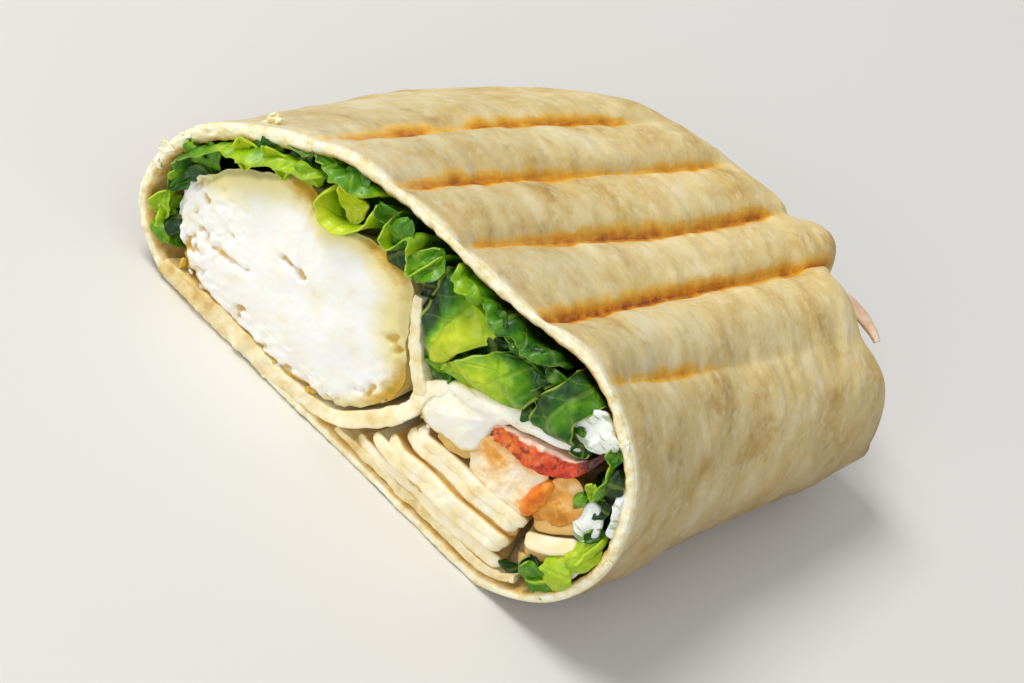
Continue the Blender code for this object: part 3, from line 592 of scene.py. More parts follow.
def sheet(centres, thickness, edge_points=3, edge_bulge=0.6, edge_power=1.0):
    """Closed thin layer round a grid of places, its first row's edge rounded.

    A power below 1 makes that edge flatter. Gives its places, its faces, and for each place the
    row and column it came from and its side.
    """
    rows, columns = centres.shape[:2]
    normals = np.cross(np.gradient(centres, axis=0), np.gradient(centres, axis=1))
    normals /= np.linalg.norm(normals, axis=2, keepdims=True) + 1e-9
    half = np.broadcast_to(np.asarray(thickness, float) / 2.0, (rows, columns))[..., None]
    out = centres[0] - centres[1]
    out /= np.linalg.norm(out, axis=1, keepdims=True) + 1e-9
    loops = [centres[i] + normals[i] * half[i] for i in range(rows - 1, -1, -1)]
    origins = [(i, 1.0) for i in range(rows - 1, -1, -1)]
    for angle in np.linspace(0.0, math.pi, edge_points + 2)[1:-1]:
        aside = math.copysign(abs(math.cos(angle)) ** edge_power, math.cos(angle))
        loops.append(centres[0] + normals[0] * half[0] * aside
                     + out * half[0] * edge_bulge * math.sin(angle) ** edge_power)
        origins.append((0, math.cos(angle)))
    loops += [centres[i] - normals[i] * half[i] for i in range(rows)]
    origins += [(i, -1.0) for i in range(rows)]
    count = len(loops)
    faces = grid_faces(count, columns)
    last = (count - 1) * columns
    faces += [(last + j, last + j + 1, j + 1, j) for j in range(columns - 1)]
    for column in (0, columns - 1):
        for i in range(count // 2):
            loop = [i, i + 1, count - 2 - i, count - 1 - i]
            loop = sorted(set(loop), key=loop.index)
            if len(loop) > 2:
                faces.append(tuple(k * columns + column for k in loop))
    row = np.repeat([origin[0] for origin in origins], columns)
    side = np.repeat([origin[1] for origin in origins], columns)
    column = np.tile(np.arange(columns), count)
    return np.concatenate(loops), faces, row, column, side


def ribbon(path, fronts=(0.0,), share=1.0, droop=0.0, pitch=0.7, ruffle=0.0, ruffle_size=4.0, jag=0.0,
           corners=0.0, seed=0):
    """Grid of places of a layer that follows a path on the cut and runs into the roll.

    Its edge at the cut stands back by fronts, spread along the path, and by corners at its ends.
    Where it sticks out it droops. It ruffles most at the cut, and its edge is jagged. Gives the
    grid and how far each column and row lies along and in.
    """
    curve = smooth_curve(path)
    length = np.linalg.norm(np.diff(curve, axis=0), axis=1).sum()
    columns = max(6, round(length / pitch) + 1)
    steps = even_steps(curve, columns)
    across = np.gradient(steps, axis=0)
    across = np.stack([-across[:, 1], across[:, 0]], axis=1)
    across /= np.linalg.norm(across, axis=1, keepdims=True)
    along = np.linspace(0.0, 1.0, columns)
    front = np.interp(along, np.linspace(0.0, 1.0, len(fronts)), fronts)
    spots = np.column_stack([along * length, 0.0 * along])
    front = front + jag * bumps(spots, (1.0, JAG_SIZES[0], seed + 11), (0.5, JAG_SIZES[1], seed + 12))
    front = front + corners * np.abs(2.0 * along - 1.0) ** CORNER_POWER
    rows = []
    for station in STATIONS:
        deep = station * share * FILLING_REACH
        calm = RUFFLE_LEFT + (1.0 - RUFFLE_LEFT) * math.exp(-deep / SETTLING)
        spots[:, 1] = deep
        sway = bumps(spots, (1.0, ruffle_size, seed), (FINE_HEIGHT, ruffle_size / FINE_PART, seed + 5))
        sway = ruffle * calm * sway
        place = steps + across * sway[:, None]
        place[:, 1] += droop * np.minimum(front, 0.0) * max(0.0, 1.0 - station / DROOP_END) ** 2
        rows.append(filling(place[:, 0], place[:, 1], np.full(columns, station * share), front))
    return np.array(rows), along * length, STATIONS * share * FILLING_REACH


def spread(values, columns):
    """A list of values spread over so many columns."""
    return np.interp(np.linspace(0.0, 1.0, columns), np.linspace(0.0, 1.0, len(values)), values)


def from_ends(columns):
    """How many columns each column is from the nearer end of its row."""
    return np.minimum(np.arange(columns), np.arange(columns)[::-1])


def moist_tortilla():
    """Inner tortilla: steamed soft dough, cream to white, moist, gold where the egg's yellow soaked in; the
    gold also paints the shade in the gaps beside the egg and under the slices.
    """
    look = Food("moist_inner_tortilla", 0.4, 1.42, subsurface=0.22, subsurface_size=1.6)
    cloud = look.clouds(2.6, 4.0, 0.62)
    dough = look.ramp(cloud, (0.32, "fbf6e2"), (0.52, "f3e9c2"), (0.7, "e5d193"))
    stained = look.ramp(cloud, (0.32, "ecd894"), (0.5, "dcb95a"), (0.68, "c1912a"))
    return look.finish(look.mix(look.mark("yolk"), dough, stained), look.clouds(0.7, 3.0, 0.65), 0.5, 0.15)


def inner_layer(name, path, thickness, share, yolk, seed):
    """A layer of dough along a path on the cut, with its edge there swollen and ragged."""
    centres, along, deep = ribbon(path, share=share, ruffle=0.2, jag=0.35, seed=seed)
    rough = bumps(along[:, None], (*EDGE_LUMPS, seed + 3), (*EDGE_GRAIN, seed + 4), base=1.0)
    front = 1.0 + (rough * EDGE_SWELL - 1.0) * np.exp(-deep / EDGE_DEPTH)[:, None]
    thick = np.outer(1.0 - THINNING * share * STATIONS, spread(thickness, len(along))) * front
    places, faces, _, column, _ = sheet(centres, thick, edge_points=9, edge_bulge=0.3, edge_power=0.65)
    piece(name, places, faces, inner_tortilla, "tortilla", ["tortilla"],
          yolk=spread(yolk, len(along))[column])


inner_tortilla = moist_tortilla()
# The last values paint the gold along each layer: stain where egg soaked in, and painted shade in the gaps
# beside the egg and under the slices
inner_layer("tortilla_fold", FOLD_PATH, (2.4, 2.9, 2.6, 2.0, 2.3, 2.3, 1.7, 0.8), 0.98,
            (0.75, 0.6, 0.25, 0.1, 0.15, 0.15, 0.0, 0.0, 0.1), seed=21)
inner_layer("tortilla_branch", BRANCH_PATH, (2.2, 2.1, 1.7, 1.1), 0.6, (0.1, 0.0, 0.0, 0.1), seed=22)
inner_layer("tortilla_underlay", UNDERLAY_PATH, (0.7, 1.3, 1.5, 1.4, 1.4, 1.0), 0.9,
            (0.6, 0.3, 0.5, 0.2, 0.4), seed=24)


# The loose corner of the tuck
# At the closed end the tortilla's sides are folded in under the roll. One corner of that tuck
# sprang loose beside the ridge: a thin pinkish strip that the grill barely reached.
FLAP_LINE = ((92.0, -8.0, 25.5), (97.2, -10.5, 25.8), (99.9, -14.0, 25.9), (101.0, -17.5, 25.7),
             (101.0, -21.3, 25.2))
FLAP_WIDTHS = (4.0, 3.2, 2.7, 2.2, 0.9)
FLAP_THICKNESS, FLAP_TILT, FLAP_LUMPS = 1.2, (0.85, -0.2, 0.48), (0.25, 2.6, 31)
FLAP_COLUMNS, FLAP_ROWS = 34, 12


def steamed_dough():
    """Tuck of the tortilla: steamed, hardly toasted dough, pinkish beige with faint darker pleats."""
    look = Food("steamed_tuck_dough", 0.5, 1.45, subsurface=0.2, subsurface_size=1.2)
    cloud = look.clouds(2.5, 4.0, 0.6)
    colour = look.ramp(cloud, (0.32, "f1dcc6"), (0.52, "e6c7aa"), (0.72, "d0a888"))
    return look.finish(colour, cloud, 0.4, 0.15)


flap_middle = even_steps(smooth_curve(FLAP_LINE), FLAP_COLUMNS)
flap_wide = np.outer(spread(FLAP_WIDTHS, FLAP_COLUMNS), FLAP_TILT)
flap_rows = np.array([flap_middle + flap_wide * side for side in np.linspace(0.5, -0.5, FLAP_ROWS)])
flap_rows[..., 2] += bumps(flap_rows, FLAP_LUMPS)
flap_thick = np.minimum(1.0, np.sin(np.linspace(0.25, math.pi - 0.25, FLAP_ROWS)) + 0.35) * FLAP_THICKNESS
places, faces, *_ = sheet(flap_rows, flap_thick[:, None])
piece("tortilla_flap", places, faces, steamed_dough(), "tortilla", ["tortilla"])


# The torn shreds
# The knife dragged small shreds out of the tortilla's rim: soft white crumb, thin as paper. They
# still hold to the rim.
# Each shred: its place (c, z) on the rim, its length, how it is turned and how far it stands out
SHREDS = ((44.4, 18.8, 2.6, 160, -0.5), (44.2, 15.2, 1.8, 200, -0.3), (43.4, 22.6, 1.6, 130, -0.4),
          (37.3, 32.9, 3.0, 78, 3.6), (36.6, 33.3, 2.2, 112, 3.2), (12.0, 1.0, 2.0, 30, -0.3),
          (-33.6, 38.0, 1.6, -40, -0.3), (-43.9, 20.6, 1.4, -80, -0.3))
SHRED_THICKNESS, SHRED_WIDTH, SHRED_CURL = 0.3, 0.22, 0.3


def turned(u, v, degrees):
    """A place (u, v) turned about the origin."""
    cos, sin = math.cos(math.radians(degrees)), math.sin(math.radians(degrees))
    return u * cos - v * sin, u * sin + v * cos


def shred(number, c, z, length, turn, back):
    """A wedge of dough, broad at the end that holds to the rim."""
    along, across = np.meshgrid(np.linspace(-1, 1, 11), np.linspace(-1, 1, 5))
    spots = np.stack([along, across, np.full(along.shape, 9.0 * number)], axis=-1)
    v = across * SHRED_WIDTH * length * (1.1 - along) * bumps(spots * (1, 0, 1), (0.5, 0.5, 35), base=1.0)
    u, v = turned(along * length / 2, v, turn)
    grid = body(c + u, z + v, 0.3 + back + SHRED_CURL * length * uneven(spots, 0.9, 36))
    grid[..., 2] = np.maximum(grid[..., 2], SHRED_THICKNESS)
    places, faces, _, _, side = sheet(grid, SHRED_THICKNESS)
    plain = 0.0 * side
    return places, faces, {"crumb": plain + 1.0, "grill": plain, "juice": plain, "skin": places * METRES}


def merged(parts):
    """Several (places, faces, marks) as one, with each mark's values in one row."""
    places, faces, marks, start = [], [], {}, 0
    for part_places, part_faces, part_marks in parts:
        places.append(part_places)
        faces += [tuple(corner + start for corner in face) for face in part_faces]
        start += len(part_places)
        for mark, values in part_marks.items():
            marks.setdefault(mark, []).append(values)
    return np.concatenate(places), faces, {mark: np.concatenate(values) for mark, values in marks.items()}


places, faces, marks = merged([shred(number, *values) for number, values in enumerate(SHREDS)])
piece("tortilla_shreds", places, faces, tortilla_skin, "tortilla", **marks)


# The egg
# Scrambled egg set into one thick, soft curd and cut through: white and finely crumbly at the
# cut, with a smooth yellow skin along its top, and small pits where steam stood in it.
EGG = ((38.6, 16.0), (37.2, 20.3), (33.6, 25.2), (29.4, 29.3), (25.3, 31.0), (21.7, 29.4), (18.6, 28.8),
       (15.3, 31.0), (10.3, 32.6), (6.0, 31.8), (3.2, 28.6), (1.2, 24.1), (-1.1, 20.5), (-3.8, 17.5),
       (-4.3, 14.1), (-2.2, 9.4), (0.9, 6.4), (4.8, 4.9), (10.3, 4.2), (18.9, 4.0), (27.4, 4.4),
       (32.2, 6.9), (36.4, 10.5))
# Soft egg that spread over the end of the inner fold, above the small piece
EGG_STRIP = ((-8.4, 22.6), (-9.4, 24.8), (-12.4, 26.8), (-16.0, 28.6), (-19.4, 30.0), (-22.4, 30.3),
             (-25.6, 30.7), (-28.6, 31.8), (-29.6, 31.4), (-27.6, 29.9), (-24.4, 28.5), (-22.0, 27.2),
             (-20.2, 26.6), (-18.6, 25.0), (-15.4, 23.8), (-12.0, 22.8), (-10.2, 21.4))
EGG_SMALL = ((-9.2, 17.0), (-8.5, 20.4), (-9.9, 23.2), (-13.0, 25.0), (-16.6, 26.2), (-18.6, 26.0),
             (-18.0, 23.6), (-18.2, 20.8), (-18.4, 18.4), (-16.2, 16.9), (-12.8, 16.0))
# Cracks in the egg's face: their two ends, half width and depth
EGG_CRACKS = ((17.0, 20.3, 20.6, 19.4, 0.45, 0.8), (17.6, 20.2, 16.6, 19.7, 0.6, 0.9),
              (27.2, 12.4, 23.6, 13.2, 0.6, 0.7), (-0.6, 21.6, 1.4, 22.6, 0.6, 0.9),
              (-1.6, 11.6, -1.2, 13.8, 0.6, 0.8))
# A thick filling's face is rounded from here to its edge; its outline has two sizes of lumps
ROUNDED, LUMP_SIZES = (0.9, 1.0), (3.0, 1.2)


def chunk(outline, columns, rings, bulge, relief, edge=0.5, lumps=0.0, swell=0.0, share=1.0, seed=0):
    """Places and faces of a thick filling with a domed, uneven face at the cut.

    At the cut it is swell bigger than its outline, with lumps; relief gives how far places on
    its face stand back. Also gives for each place how close it is to the face's edge, from 0 to
    1, and its (c, z) and depth.
    """
    curve = smooth_curve(outline, closed=True)
    steps = even_steps(np.vstack([curve, curve[:1]]), columns + 1)[:-1]
    middle = steps.mean(axis=0)
    outward = beside(steps)
    outward *= np.sign(((steps - middle) * outward).sum())
    knobs = lumps * bumps(steps, (1.0, LUMP_SIZES[0], seed), (0.5, LUMP_SIZES[1], seed + 1))
    knobs = knobs + (swell(steps) if callable(swell) else swell)
    plain = steps
    steps = steps + outward * knobs[:, None]
    spots, fronts, shares, closeness = [], [], [], []
    for shrink in np.linspace(0.0, 1.0, rings + 1)[1:]:
        ring = middle + (steps - middle) * shrink
        front = -bulge * (1.0 - shrink ** 2) + edge * rise(shrink, *ROUNDED) ** 2
        spots.append(ring)
        fronts.append(front + relief(ring))
        shares.append(0.0)
        closeness.append(shrink)
    for station in STATIONS[1:]:
        spots.append(plain + (steps - plain) * math.exp(-station * FILLING_REACH / SETTLING))
        fronts.append(fronts[rings - 1])
        shares.append(station * share)
        closeness.append(1.0)
    places = [filling(spot[:, 0], spot[:, 1], np.full(columns, part), front)
              for spot, front, part in zip(spots, fronts, shares)]
    ends = [filling(*middle, 0.0, fronts[0].mean()), filling(*middle, share)]
    faces = grid_faces(len(places), columns, closed=True) + cap_faces(len(places), columns)
    places = np.vstack([np.concatenate(places), ends])
    closeness = np.append(np.repeat(closeness, columns), [0.0, 1.0])
    spots = np.vstack([np.concatenate(spots), middle, middle])
    deep = np.append(np.repeat(shares, columns), [0.0, share]) * FILLING_REACH
    return places, faces, closeness, spots, deep


def torn_share(spots):
    """How torn each place of the egg's face is: its far and lower side more than its middle."""
    c, z = spots.T
    far_and_low = np.maximum(rise(c, 24.0, 33.0) * rise(z, 24.0, 18.0), rise(z, 10.0, 6.0))
    return np.maximum(far_and_low, 0.7 * rise(c, 2.5, -1.5))


def egg_hollows(spots):
    """How deep each place lies in a crack or between the torn curds, in millimetres."""
    curds = np.maximum(bumps(spots, (1.0, 2.4, 42), (0.6, 1.1, 43)) - 0.12, 0.0)
    depth = 1.7 * torn_share(spots) * curds
    wander = 0.8 * uneven(spots, 1.4, 45)
    for first_c, first_z, last_c, last_z, half_width, deepest in EGG_CRACKS:
        first, line = np.array((first_c, first_z)), np.array((last_c - first_c, last_z - first_z))
        along = np.clip((spots - first) @ line / (line @ line), 0.0, 1.0)
        away = np.linalg.norm(spots - first - along[:, None] * line, axis=1) + wander
        depth = np.maximum(depth, deepest * bell(np.maximum(away, 0.0), 0.0, half_width))
    return depth


def egg_relief(ring):
    """Soft broad curds, torn into crumbs where the knife dragged them."""
    crumbly = torn_share(ring) * bumps(ring, (0.3, 1.4, 50), (0.12, 0.6, 51))
    return bumps(ring, (0.4, 6.5, 41), (0.06, 1.2, 44)) + crumbly + egg_hollows(ring)


def egg_swell(steps):
    """The egg's crumbly far and lower side spreads into the gap between it and the tortilla."""
    c, z = steps.T
    corner, near = rise(c, 26.0, 34.0) * rise(z, 20.0, 12.0), rise(c, 4.0, 0.0) * rise(z, 16.0, 20.0)
    return 0.3 + 0.9 * corner + 0.35 * rise(z, 9.0, 5.0) + 0.5 * near


def set_egg():
    """Set egg: opaque white curd that light enters a little, yellow where it is skin, gold where egg yellow
    shows and where shade is painted along its edges and in its hollows.
    """
    look = Food("soft_set_egg", 0.42, 1.38, subsurface=0.3, subsurface_size=1.5)
    cloud = look.clouds(3.6, 5.0, 0.62)
    curd = look.ramp(cloud, (0.36, "f8f8f6"), (0.56, "f7f5ec"), (0.74, "f1ead2"))
    skinned = look.fade(look.math("MULTIPLY_ADD", cloud, 0.5, look.mark("skin")), 0.35, 1.2)
    colour = look.mix(skinned, curd, "ebdf9f")
    blotch = look.clouds(1.5, 3.0, 0.6)
    # Gold where egg yellow shows, which also paints the shade along the edges and in the hollows
    yolk_and_shade_share = look.fade(look.math("MULTIPLY_ADD", blotch, 0.9, look.mark("yolk")), 0.62, 1.35)
    colour = look.mix(yolk_and_shade_share, colour, "d3ab3c")
    return look.finish(colour, look.clouds(0.9, 4.0, 0.6), 0.3, 0.15)


soft_egg = set_egg()
places, faces, close, spots, deep = chunk(EGG, 320, 90, bulge=1.2, relief=egg_relief, edge=0.9, lumps=0.6,
                                          swell=egg_swell, seed=40)
# Its skin is yellow along the top and the near side. Gold is painted at two places along the top
# under the leaves, along the lower and the near edge, and in the hollows: partly egg yellow, partly
# painted shade
at_face = deep < 0.5
c, z = spots.T
top_skin = rise(close, 0.5, 1.0) * rise(z, 14.0, 22.0)
near_skin = 0.85 * rise(close, 0.8, 1.0) * rise(c, 7.0, 1.0)
top_yolk_shade = bell(c, 25.0, 4.5) + 0.9 * bell(c, 9.5, 6.0)
top_yolk_shade *= 1.05 * rise(close, 0.76, 1.0) * rise(z, 25.0, 29.0)
low_yolk_shade = rise(close, 0.86, 1.0) * rise(z, 11.0, 6.0) * rise(c, 2.0, 7.0)
near_yolk_shade = 1.1 * rise(close, 0.85, 1.0) * rise(c, 1.0, -2.0) * bell(z, 15.0, 6.0)
yolk = np.max([top_yolk_shade, low_yolk_shade, near_yolk_shade, 0.75 * rise(egg_hollows(spots), 0.0, 0.9)], axis=0)
piece("egg_large", places, faces, soft_egg, "egg", ["egg"],
      skin=np.where(at_face, np.maximum(top_skin, near_skin), 0.9), yolk=np.where(at_face, yolk, 0.45))


def soft_relief(ring):
    """Soft egg, nearly smooth."""
    front = 0.4 * uneven(ring, 4.2, 54) + 0.25 * np.abs(uneven(ring, 2.2, 55))
    return front + 0.05 * uneven(ring, 0.6, 49)


def small_swell(steps):
    """The small piece sags and spreads onto the slices under it."""
    return 0.3 + 0.2 * rise(steps[:, 1], 19.5, 17.0)


places, faces, close, spots, _ = chunk(EGG_SMALL, 200, 56, bulge=1.3, relief=soft_relief, lumps=0.7,
                                       swell=small_swell, seed=46)
# Painted shade: gold along the small piece's lower edge, where it sits on the slices
shaded_low_edge = rise(close, 0.75, 1.0) * rise(spots[:, 1], 20.5, 17.5)
piece("egg_small_curd", places, faces, soft_egg, "egg", ["egg_small"], skin=0.34 + 0.5 * shaded_low_edge,
      yolk=0.85 * shaded_low_edge)
places, faces, _, spots, _ = chunk(EGG_STRIP, 190, 34, bulge=1.3, relief=soft_relief, lumps=0.35,
                                   share=0.25, seed=52)
upper_edge = rise(spots[:, 1] + 0.55 * spots[:, 0], 18.4, 20.0)
piece("egg_strip", places, faces, soft_egg, "egg", skin=0.34 + 0.66 * upper_edge,
      yolk=0.3 * upper_edge + 0.3 * bell(spots[:, 0], -20.5, 2.0))


# The pale slices
# Thin slices of mild pale cheese that softened on the grill: five lie on each other and three
# stand on edge beside them. Smooth, a little glossy, deeper yellow at their edges, where painted
# gold shade also marks the seams between them.
# Each lying slice: the place (c, z) of its torn left end, its height, how far its right end is
# short and how far it stands back
LYING = ((-4.6, 4.3, 5.1, 1.6, 0.5), (-6.4, 7.4, 7.8, 0.0, -0.5), (-8.4, 9.6, 9.2, 0.2, -0.5),
         (-9.6, 12.5, 12.2, -0.6, 0.3), (-11.0, 14.6, 13.8, -0.2, 0.3))
SLICE_RIGHT, SLICE_TILT = -31.8, 0.9
# Their thickness and how far their edge at the cut stands back, from the left to the right
LYING_THICKNESS, LYING_EDGE = (0.9, 1.4, 1.45, 1.5, 1.4), (0.2, -0.2, 0.1, -0.3, 0.1, -0.2)
# How much gold each one has along its lower and its upper edge: painted shade of the seams
SLICE_SEAMS = ((0.7, 0.7), (0.75, 0.05), (0.05, 0.8), (0.75, 0.05), (0.05, 0.6))
# The standing slices: their path on the cut, thickness, how far they stand back and how much gold shade is
# painted on them
STANDING = ((((-34.0, 8.6), (-35.9, 9.8), (-37.4, 11.4)), 1.6, 1.4, 0.75),
            (((-33.6, 11.2), (-36.0, 12.6), (-38.2, 15.0)), 1.7, 1.2, 0.8),
            (((-33.0, 13.0), (-36.1, 15.5), (-39.7, 19.4)), 1.9, -0.3, 0.1))
# Gold sheets shaped like slices, set back in the gaps above the standing ones, above the lying
# ones and between them, paint the gold shade of those gaps
SEAM_SHADE_SLICES = (((-32.0, 16.0), (-34.9, 18.6), (-37.6, 21.2)),
                 ((-12.6, 16.0), (-15.4, 16.2), (-18.9, 17.0)),
                 ((-10.6, 11.2), (-15.0, 10.4), (-22.0, 10.7), (-28.0, 11.2), (-31.6, 12.0)),
                 ((-6.4, 5.9), (-12.0, 6.2), (-20.0, 6.5), (-27.0, 6.8), (-31.0, 7.2)))
# At the cut the knife pressed them thicker, until they nearly touch
SLICE_SWELL, SLICE_SWELL_DEPTH = 1.1, 2.0


def soft_cheese():
    """Mild cheese, sliced: smooth and waxy, pale yellow, with fine cut lines and a deeper yellow edge, which
    paints the shade of the seams between slices.
    """
    look = Food("mild_sliced_cheese", 0.36, 1.42, subsurface=0.2, subsurface_size=1.5)
    colour = look.ramp(look.clouds(2.8, 4.0, 0.6), (0.32, "fdf5dc"), (0.52, "f9ebc4"), (0.72, "efda9a"))
    colour = look.mix(look.mark("edge"), colour, "d2a23c")
    return look.finish(colour, look.clouds(0.8, 3.0, 0.6), 0.25, 0.12)


def cheese_slice(name, path, thickness, fronts, share, seed, golden=0.0, seams=(0.5, 0.5), replaced=()):
    """A slice along a path on the cut, painted gold all over or along its lower and upper seams, for their
    shade.
    """
    centres, along, deep = ribbon(path, fronts, share, pitch=0.35, ruffle=0.14, ruffle_size=5.0, jag=0.2,
                                  corners=0.8, seed=seed)
    columns = len(along)
    thick = np.outer(1.0 - THINNING * share * STATIONS, spread(thickness, columns))
    thick += SLICE_SWELL * np.exp(-deep / SLICE_SWELL_DEPTH)[:, None]
    thick *= bumps(along[:, None], (0.1, 3.2, seed + 7), base=1.0)
    thick *= np.minimum(1.0, 0.55 + from_ends(columns) / 5.0)
    places, faces, _, _, side = sheet(centres, thick, edge_points=9, edge_bulge=0.45, edge_power=0.7)
    # Painted shade: gold along the seams where one slice meets the next
    seam = np.where(side > 0.0, seams[0], seams[1]) * rise(np.abs(side), 0.75, 1.0)
    piece(name, places, faces, cheese, "slice", replaced, edge=np.maximum(seam, golden))


cheese = soft_cheese()
for number, (left, left_z, height, end, back) in enumerate(LYING):
    path = ((left, left_z), (-12.0, height - 0.5), (-16.0, height - 0.1), (-24.0, height + 0.1),
            (SLICE_RIGHT - end, height + SLICE_TILT))
    cheese_slice(f"flat_slice_{number + 1}_cheese", path, LYING_THICKNESS,
                 np.array(LYING_EDGE) + back, 0.96, seed=50 + number,
                 seams=SLICE_SEAMS[number], replaced=[f"flat_slice_{number + 1}"])
for number, (path, thickness, back, golden) in enumerate(STANDING):
    cheese_slice(f"standing_slice_{number + 1}_cheese", path, (thickness - 0.4, thickness, thickness - 0.5),
                 np.array((0.5, -0.2, 0.4)) + back, 0.9, seed=56 + number, golden=golden,
                 replaced=[f"standing_slice_{number + 1}"])
# Painted shade: gold sheets in the gaps between the slices
for number, path in enumerate(SEAM_SHADE_SLICES):
    cheese_slice(f"golden_slice_{number + 1}_cheese", path, (1.0, 1.4, 1.0), (0.9, 0.5, 0.9), 0.3,
                 seed=60 + number, golden=0.85)


# The roast meat and the pepper
# A block of tan roast meat with short fibres, parted by a small piece of cooked orange pepper. The
# roll holds them; nothing else does.
ROAST_BLOCK = ((-19.4, 16.2), (-19.2, 19.0), (-19.8, 21.4), (-22.0, 22.6), (-25.4, 23.2), (-28.4, 23.6),
               (-28.8, 20.0), (-28.9, 16.4), (-24.4, 15.2))
ROAST_END = ((-31.6, 18.4), (-31.3, 22.4), (-30.9, 24.9), (-31.8, 26.6), (-34.0, 26.2), (-35.6, 23.4),
             (-35.6, 20.8), (-34.4, 18.8), (-32.8, 17.2))
PEPPER = ((-29.3, 17.0), (-29.3, 20.0), (-29.4, 23.2), (-30.5, 24.0), (-31.1, 21.0), (-30.9, 17.8),
          (-30.4, 16.4))


def roast_meat():
    """Roast meat: tan fibres with gold and brown streaks, shiny with fat, browner where shade is painted
    under the bacon.
    """
    look = Food("tan_roast_meat", 0.36, 1.42, subsurface=0.2, subsurface_size=1.2)
    fibres = look.clouds(3.4, 4.0, 0.55, stretch=(0.6, 1.0, 1.5))
    colour = look.ramp(look.math("ADD", fibres, look.mark("golden")), (0.3, "fbf0d8"), (0.48, "f8e4be"),
                       (0.62, "f1c88c"), (0.8, "e3a243"), (0.98, "c27d1c"))
    return look.finish(colour, fibres, 0.35, 0.2)


def cooked_pepper():
    """Cooked sweet pepper: wet, translucent orange flesh, unevenly deep in colour."""
    look = Food("cooked_orange_pepper", 0.22, 1.4, subsurface=0.25, subsurface_size=1.2)
    cloud = look.clouds(1.8, 3.0, 0.55)
    colour = look.ramp(cloud, (0.32, "f3a136"), (0.55, "e67c14"), (0.75, "cf5c08"))
    return look.finish(colour, cloud, 0.3, 0.15)


def meat_relief(ring):
    """Torn fibres that run up and down the cut."""
    drawn = ring * (1.0, 0.6)
    torn = np.abs(uneven(drawn, 1.6, 62)) + 0.4 * np.abs(uneven(ring, 0.7, 65))
    return 0.6 * uneven(drawn, 3.4, 61) + 0.5 * torn


def smooth_relief(ring):
    """Wet flesh, nearly smooth."""
    return 0.18 * uneven(ring, 1.8, 63)


roast = roast_meat()
places, faces, _, spots, _ = chunk(ROAST_BLOCK, 180, 44, bulge=-0.1, relief=meat_relief, edge=0.2, lumps=0.9,
                                   swell=1.0, seed=64)
patch = 0.42 * bell(spots[:, 0], -20.4, 2.2) * bell(spots[:, 1], 20.2, 2.0)
# Painted shade: browner along the bacon's lower edge
shade_under_bacon = 0.2 * rise(spots[:, 1] + 0.25 * spots[:, 0], 15.0, 16.5)
piece("roast_block_meat", places, faces, roast, "roast", ["roast_block"],
      golden=np.maximum(patch, shade_under_bacon))
places, faces, _, spots, _ = chunk(ROAST_END, 120, 28, bulge=-0.1, relief=meat_relief, edge=0.2, lumps=0.7,
                                   swell=0.8, seed=66)
piece("roast_end_meat", places, faces, roast, "roast", ["roast_end"],
      golden=0.42 - 0.2 * rise(spots[:, 1], 21.0, 24.0))
places, faces, *_ = chunk(PEPPER, 80, 18, bulge=1.4, relief=smooth_relief, lumps=0.35, swell=0.5,
                          share=0.5, seed=68)
piece("pepper_piece", places, faces, cooked_pepper(), "pepper", ["pepper"])


# The bacon
# One thick rasher, fried: red-brown lean with orange fat through it, a pale pink rind of fat on
# its upper side, and a dark thin end that curls up at the near wall.
BACON_PATH = ((-18.9, 22.9), (-21.0, 24.4), (-24.2, 25.2), (-28.0, 26.6), (-30.9, 29.0), (-32.1, 31.2),
              (-32.6, 33.6), (-32.6, 35.2))
BACON_THICKNESS, BACON_SHARE = (2.2, 3.4, 4.2, 4.4, 3.6, 2.2, 1.3, 0.8), 0.95
# How far its edge at the cut stands back along it, and the unevenness of its thickness and edge
BACON_EDGE, BACON_LUMPS = (0.6, 0.2, -0.3, 0.1, -0.4, -0.2, 0.3), (0.12, 2.4, 73)
BACON_TORN, BACON_GRAIN = (0.5, 1.5, 72), (0.3, 0.7, 74)


def fried_bacon():
    """Fried bacon: glossy red-orange lean with dark specks, pink fat above it, a scorched thin end."""
    look = Food("fried_bacon", 0.28, 1.45, subsurface=0.15, subsurface_size=1.0)
    fibres = look.clouds(2.6, 4.0, 0.6)
    fried = look.ramp(fibres, (0.3, "f6a850"), (0.45, "ee7e26"), (0.6, "dc5814"), (0.75, "bc3c0a"))
    cured = look.ramp(fibres, (0.3, "e8743a"), (0.45, "d8481c"), (0.6, "ba2e0e"), (0.75, "8c1a06"))
    lean = look.mix(look.mark("redder"), fried, cured)
    grains = look.clouds(1.2, 3.0, 0.6)
    lean = look.mix(look.fade(grains, 0.52, 0.64, 0.0, 0.75, "LINEAR"), lean, "7a1606")
    fatty = look.fade(look.math("MULTIPLY_ADD", fibres, -0.5, look.mark("fat")), -0.1, 0.45)
    colour = look.mix(fatty, lean, "fbd6bd")
    colour = look.mix(look.mark("scorch"), colour, "42140c")
    return look.finish(colour, grains, 0.6, 0.25)


centres, along, _ = ribbon(BACON_PATH, BACON_EDGE, BACON_SHARE, pitch=0.3, ruffle=0.3, ruffle_size=3.4,
                           jag=0.3, seed=70)
thick = np.outer(1.0 - THINNING * BACON_SHARE * STATIONS, spread(BACON_THICKNESS, len(along)))
rough = bumps(along[:, None], BACON_LUMPS, base=1.0)
places, faces, _, column, side = sheet(centres, thick * rough, edge_points=25, edge_bulge=0.3, edge_power=0.8)
at_cut = np.abs(side) < 0.99
places[:, 0] += bumps(places, BACON_TORN, BACON_GRAIN) * at_cut
piece("bacon_rasher", places, faces, fried_bacon(), "bacon", ["bacon"],
      fat=rise(-side, 0.35, 1.0), scorch=rise(along[column], 13.5, 16.5),
      redder=rise(along[column], 2.0, 9.0))


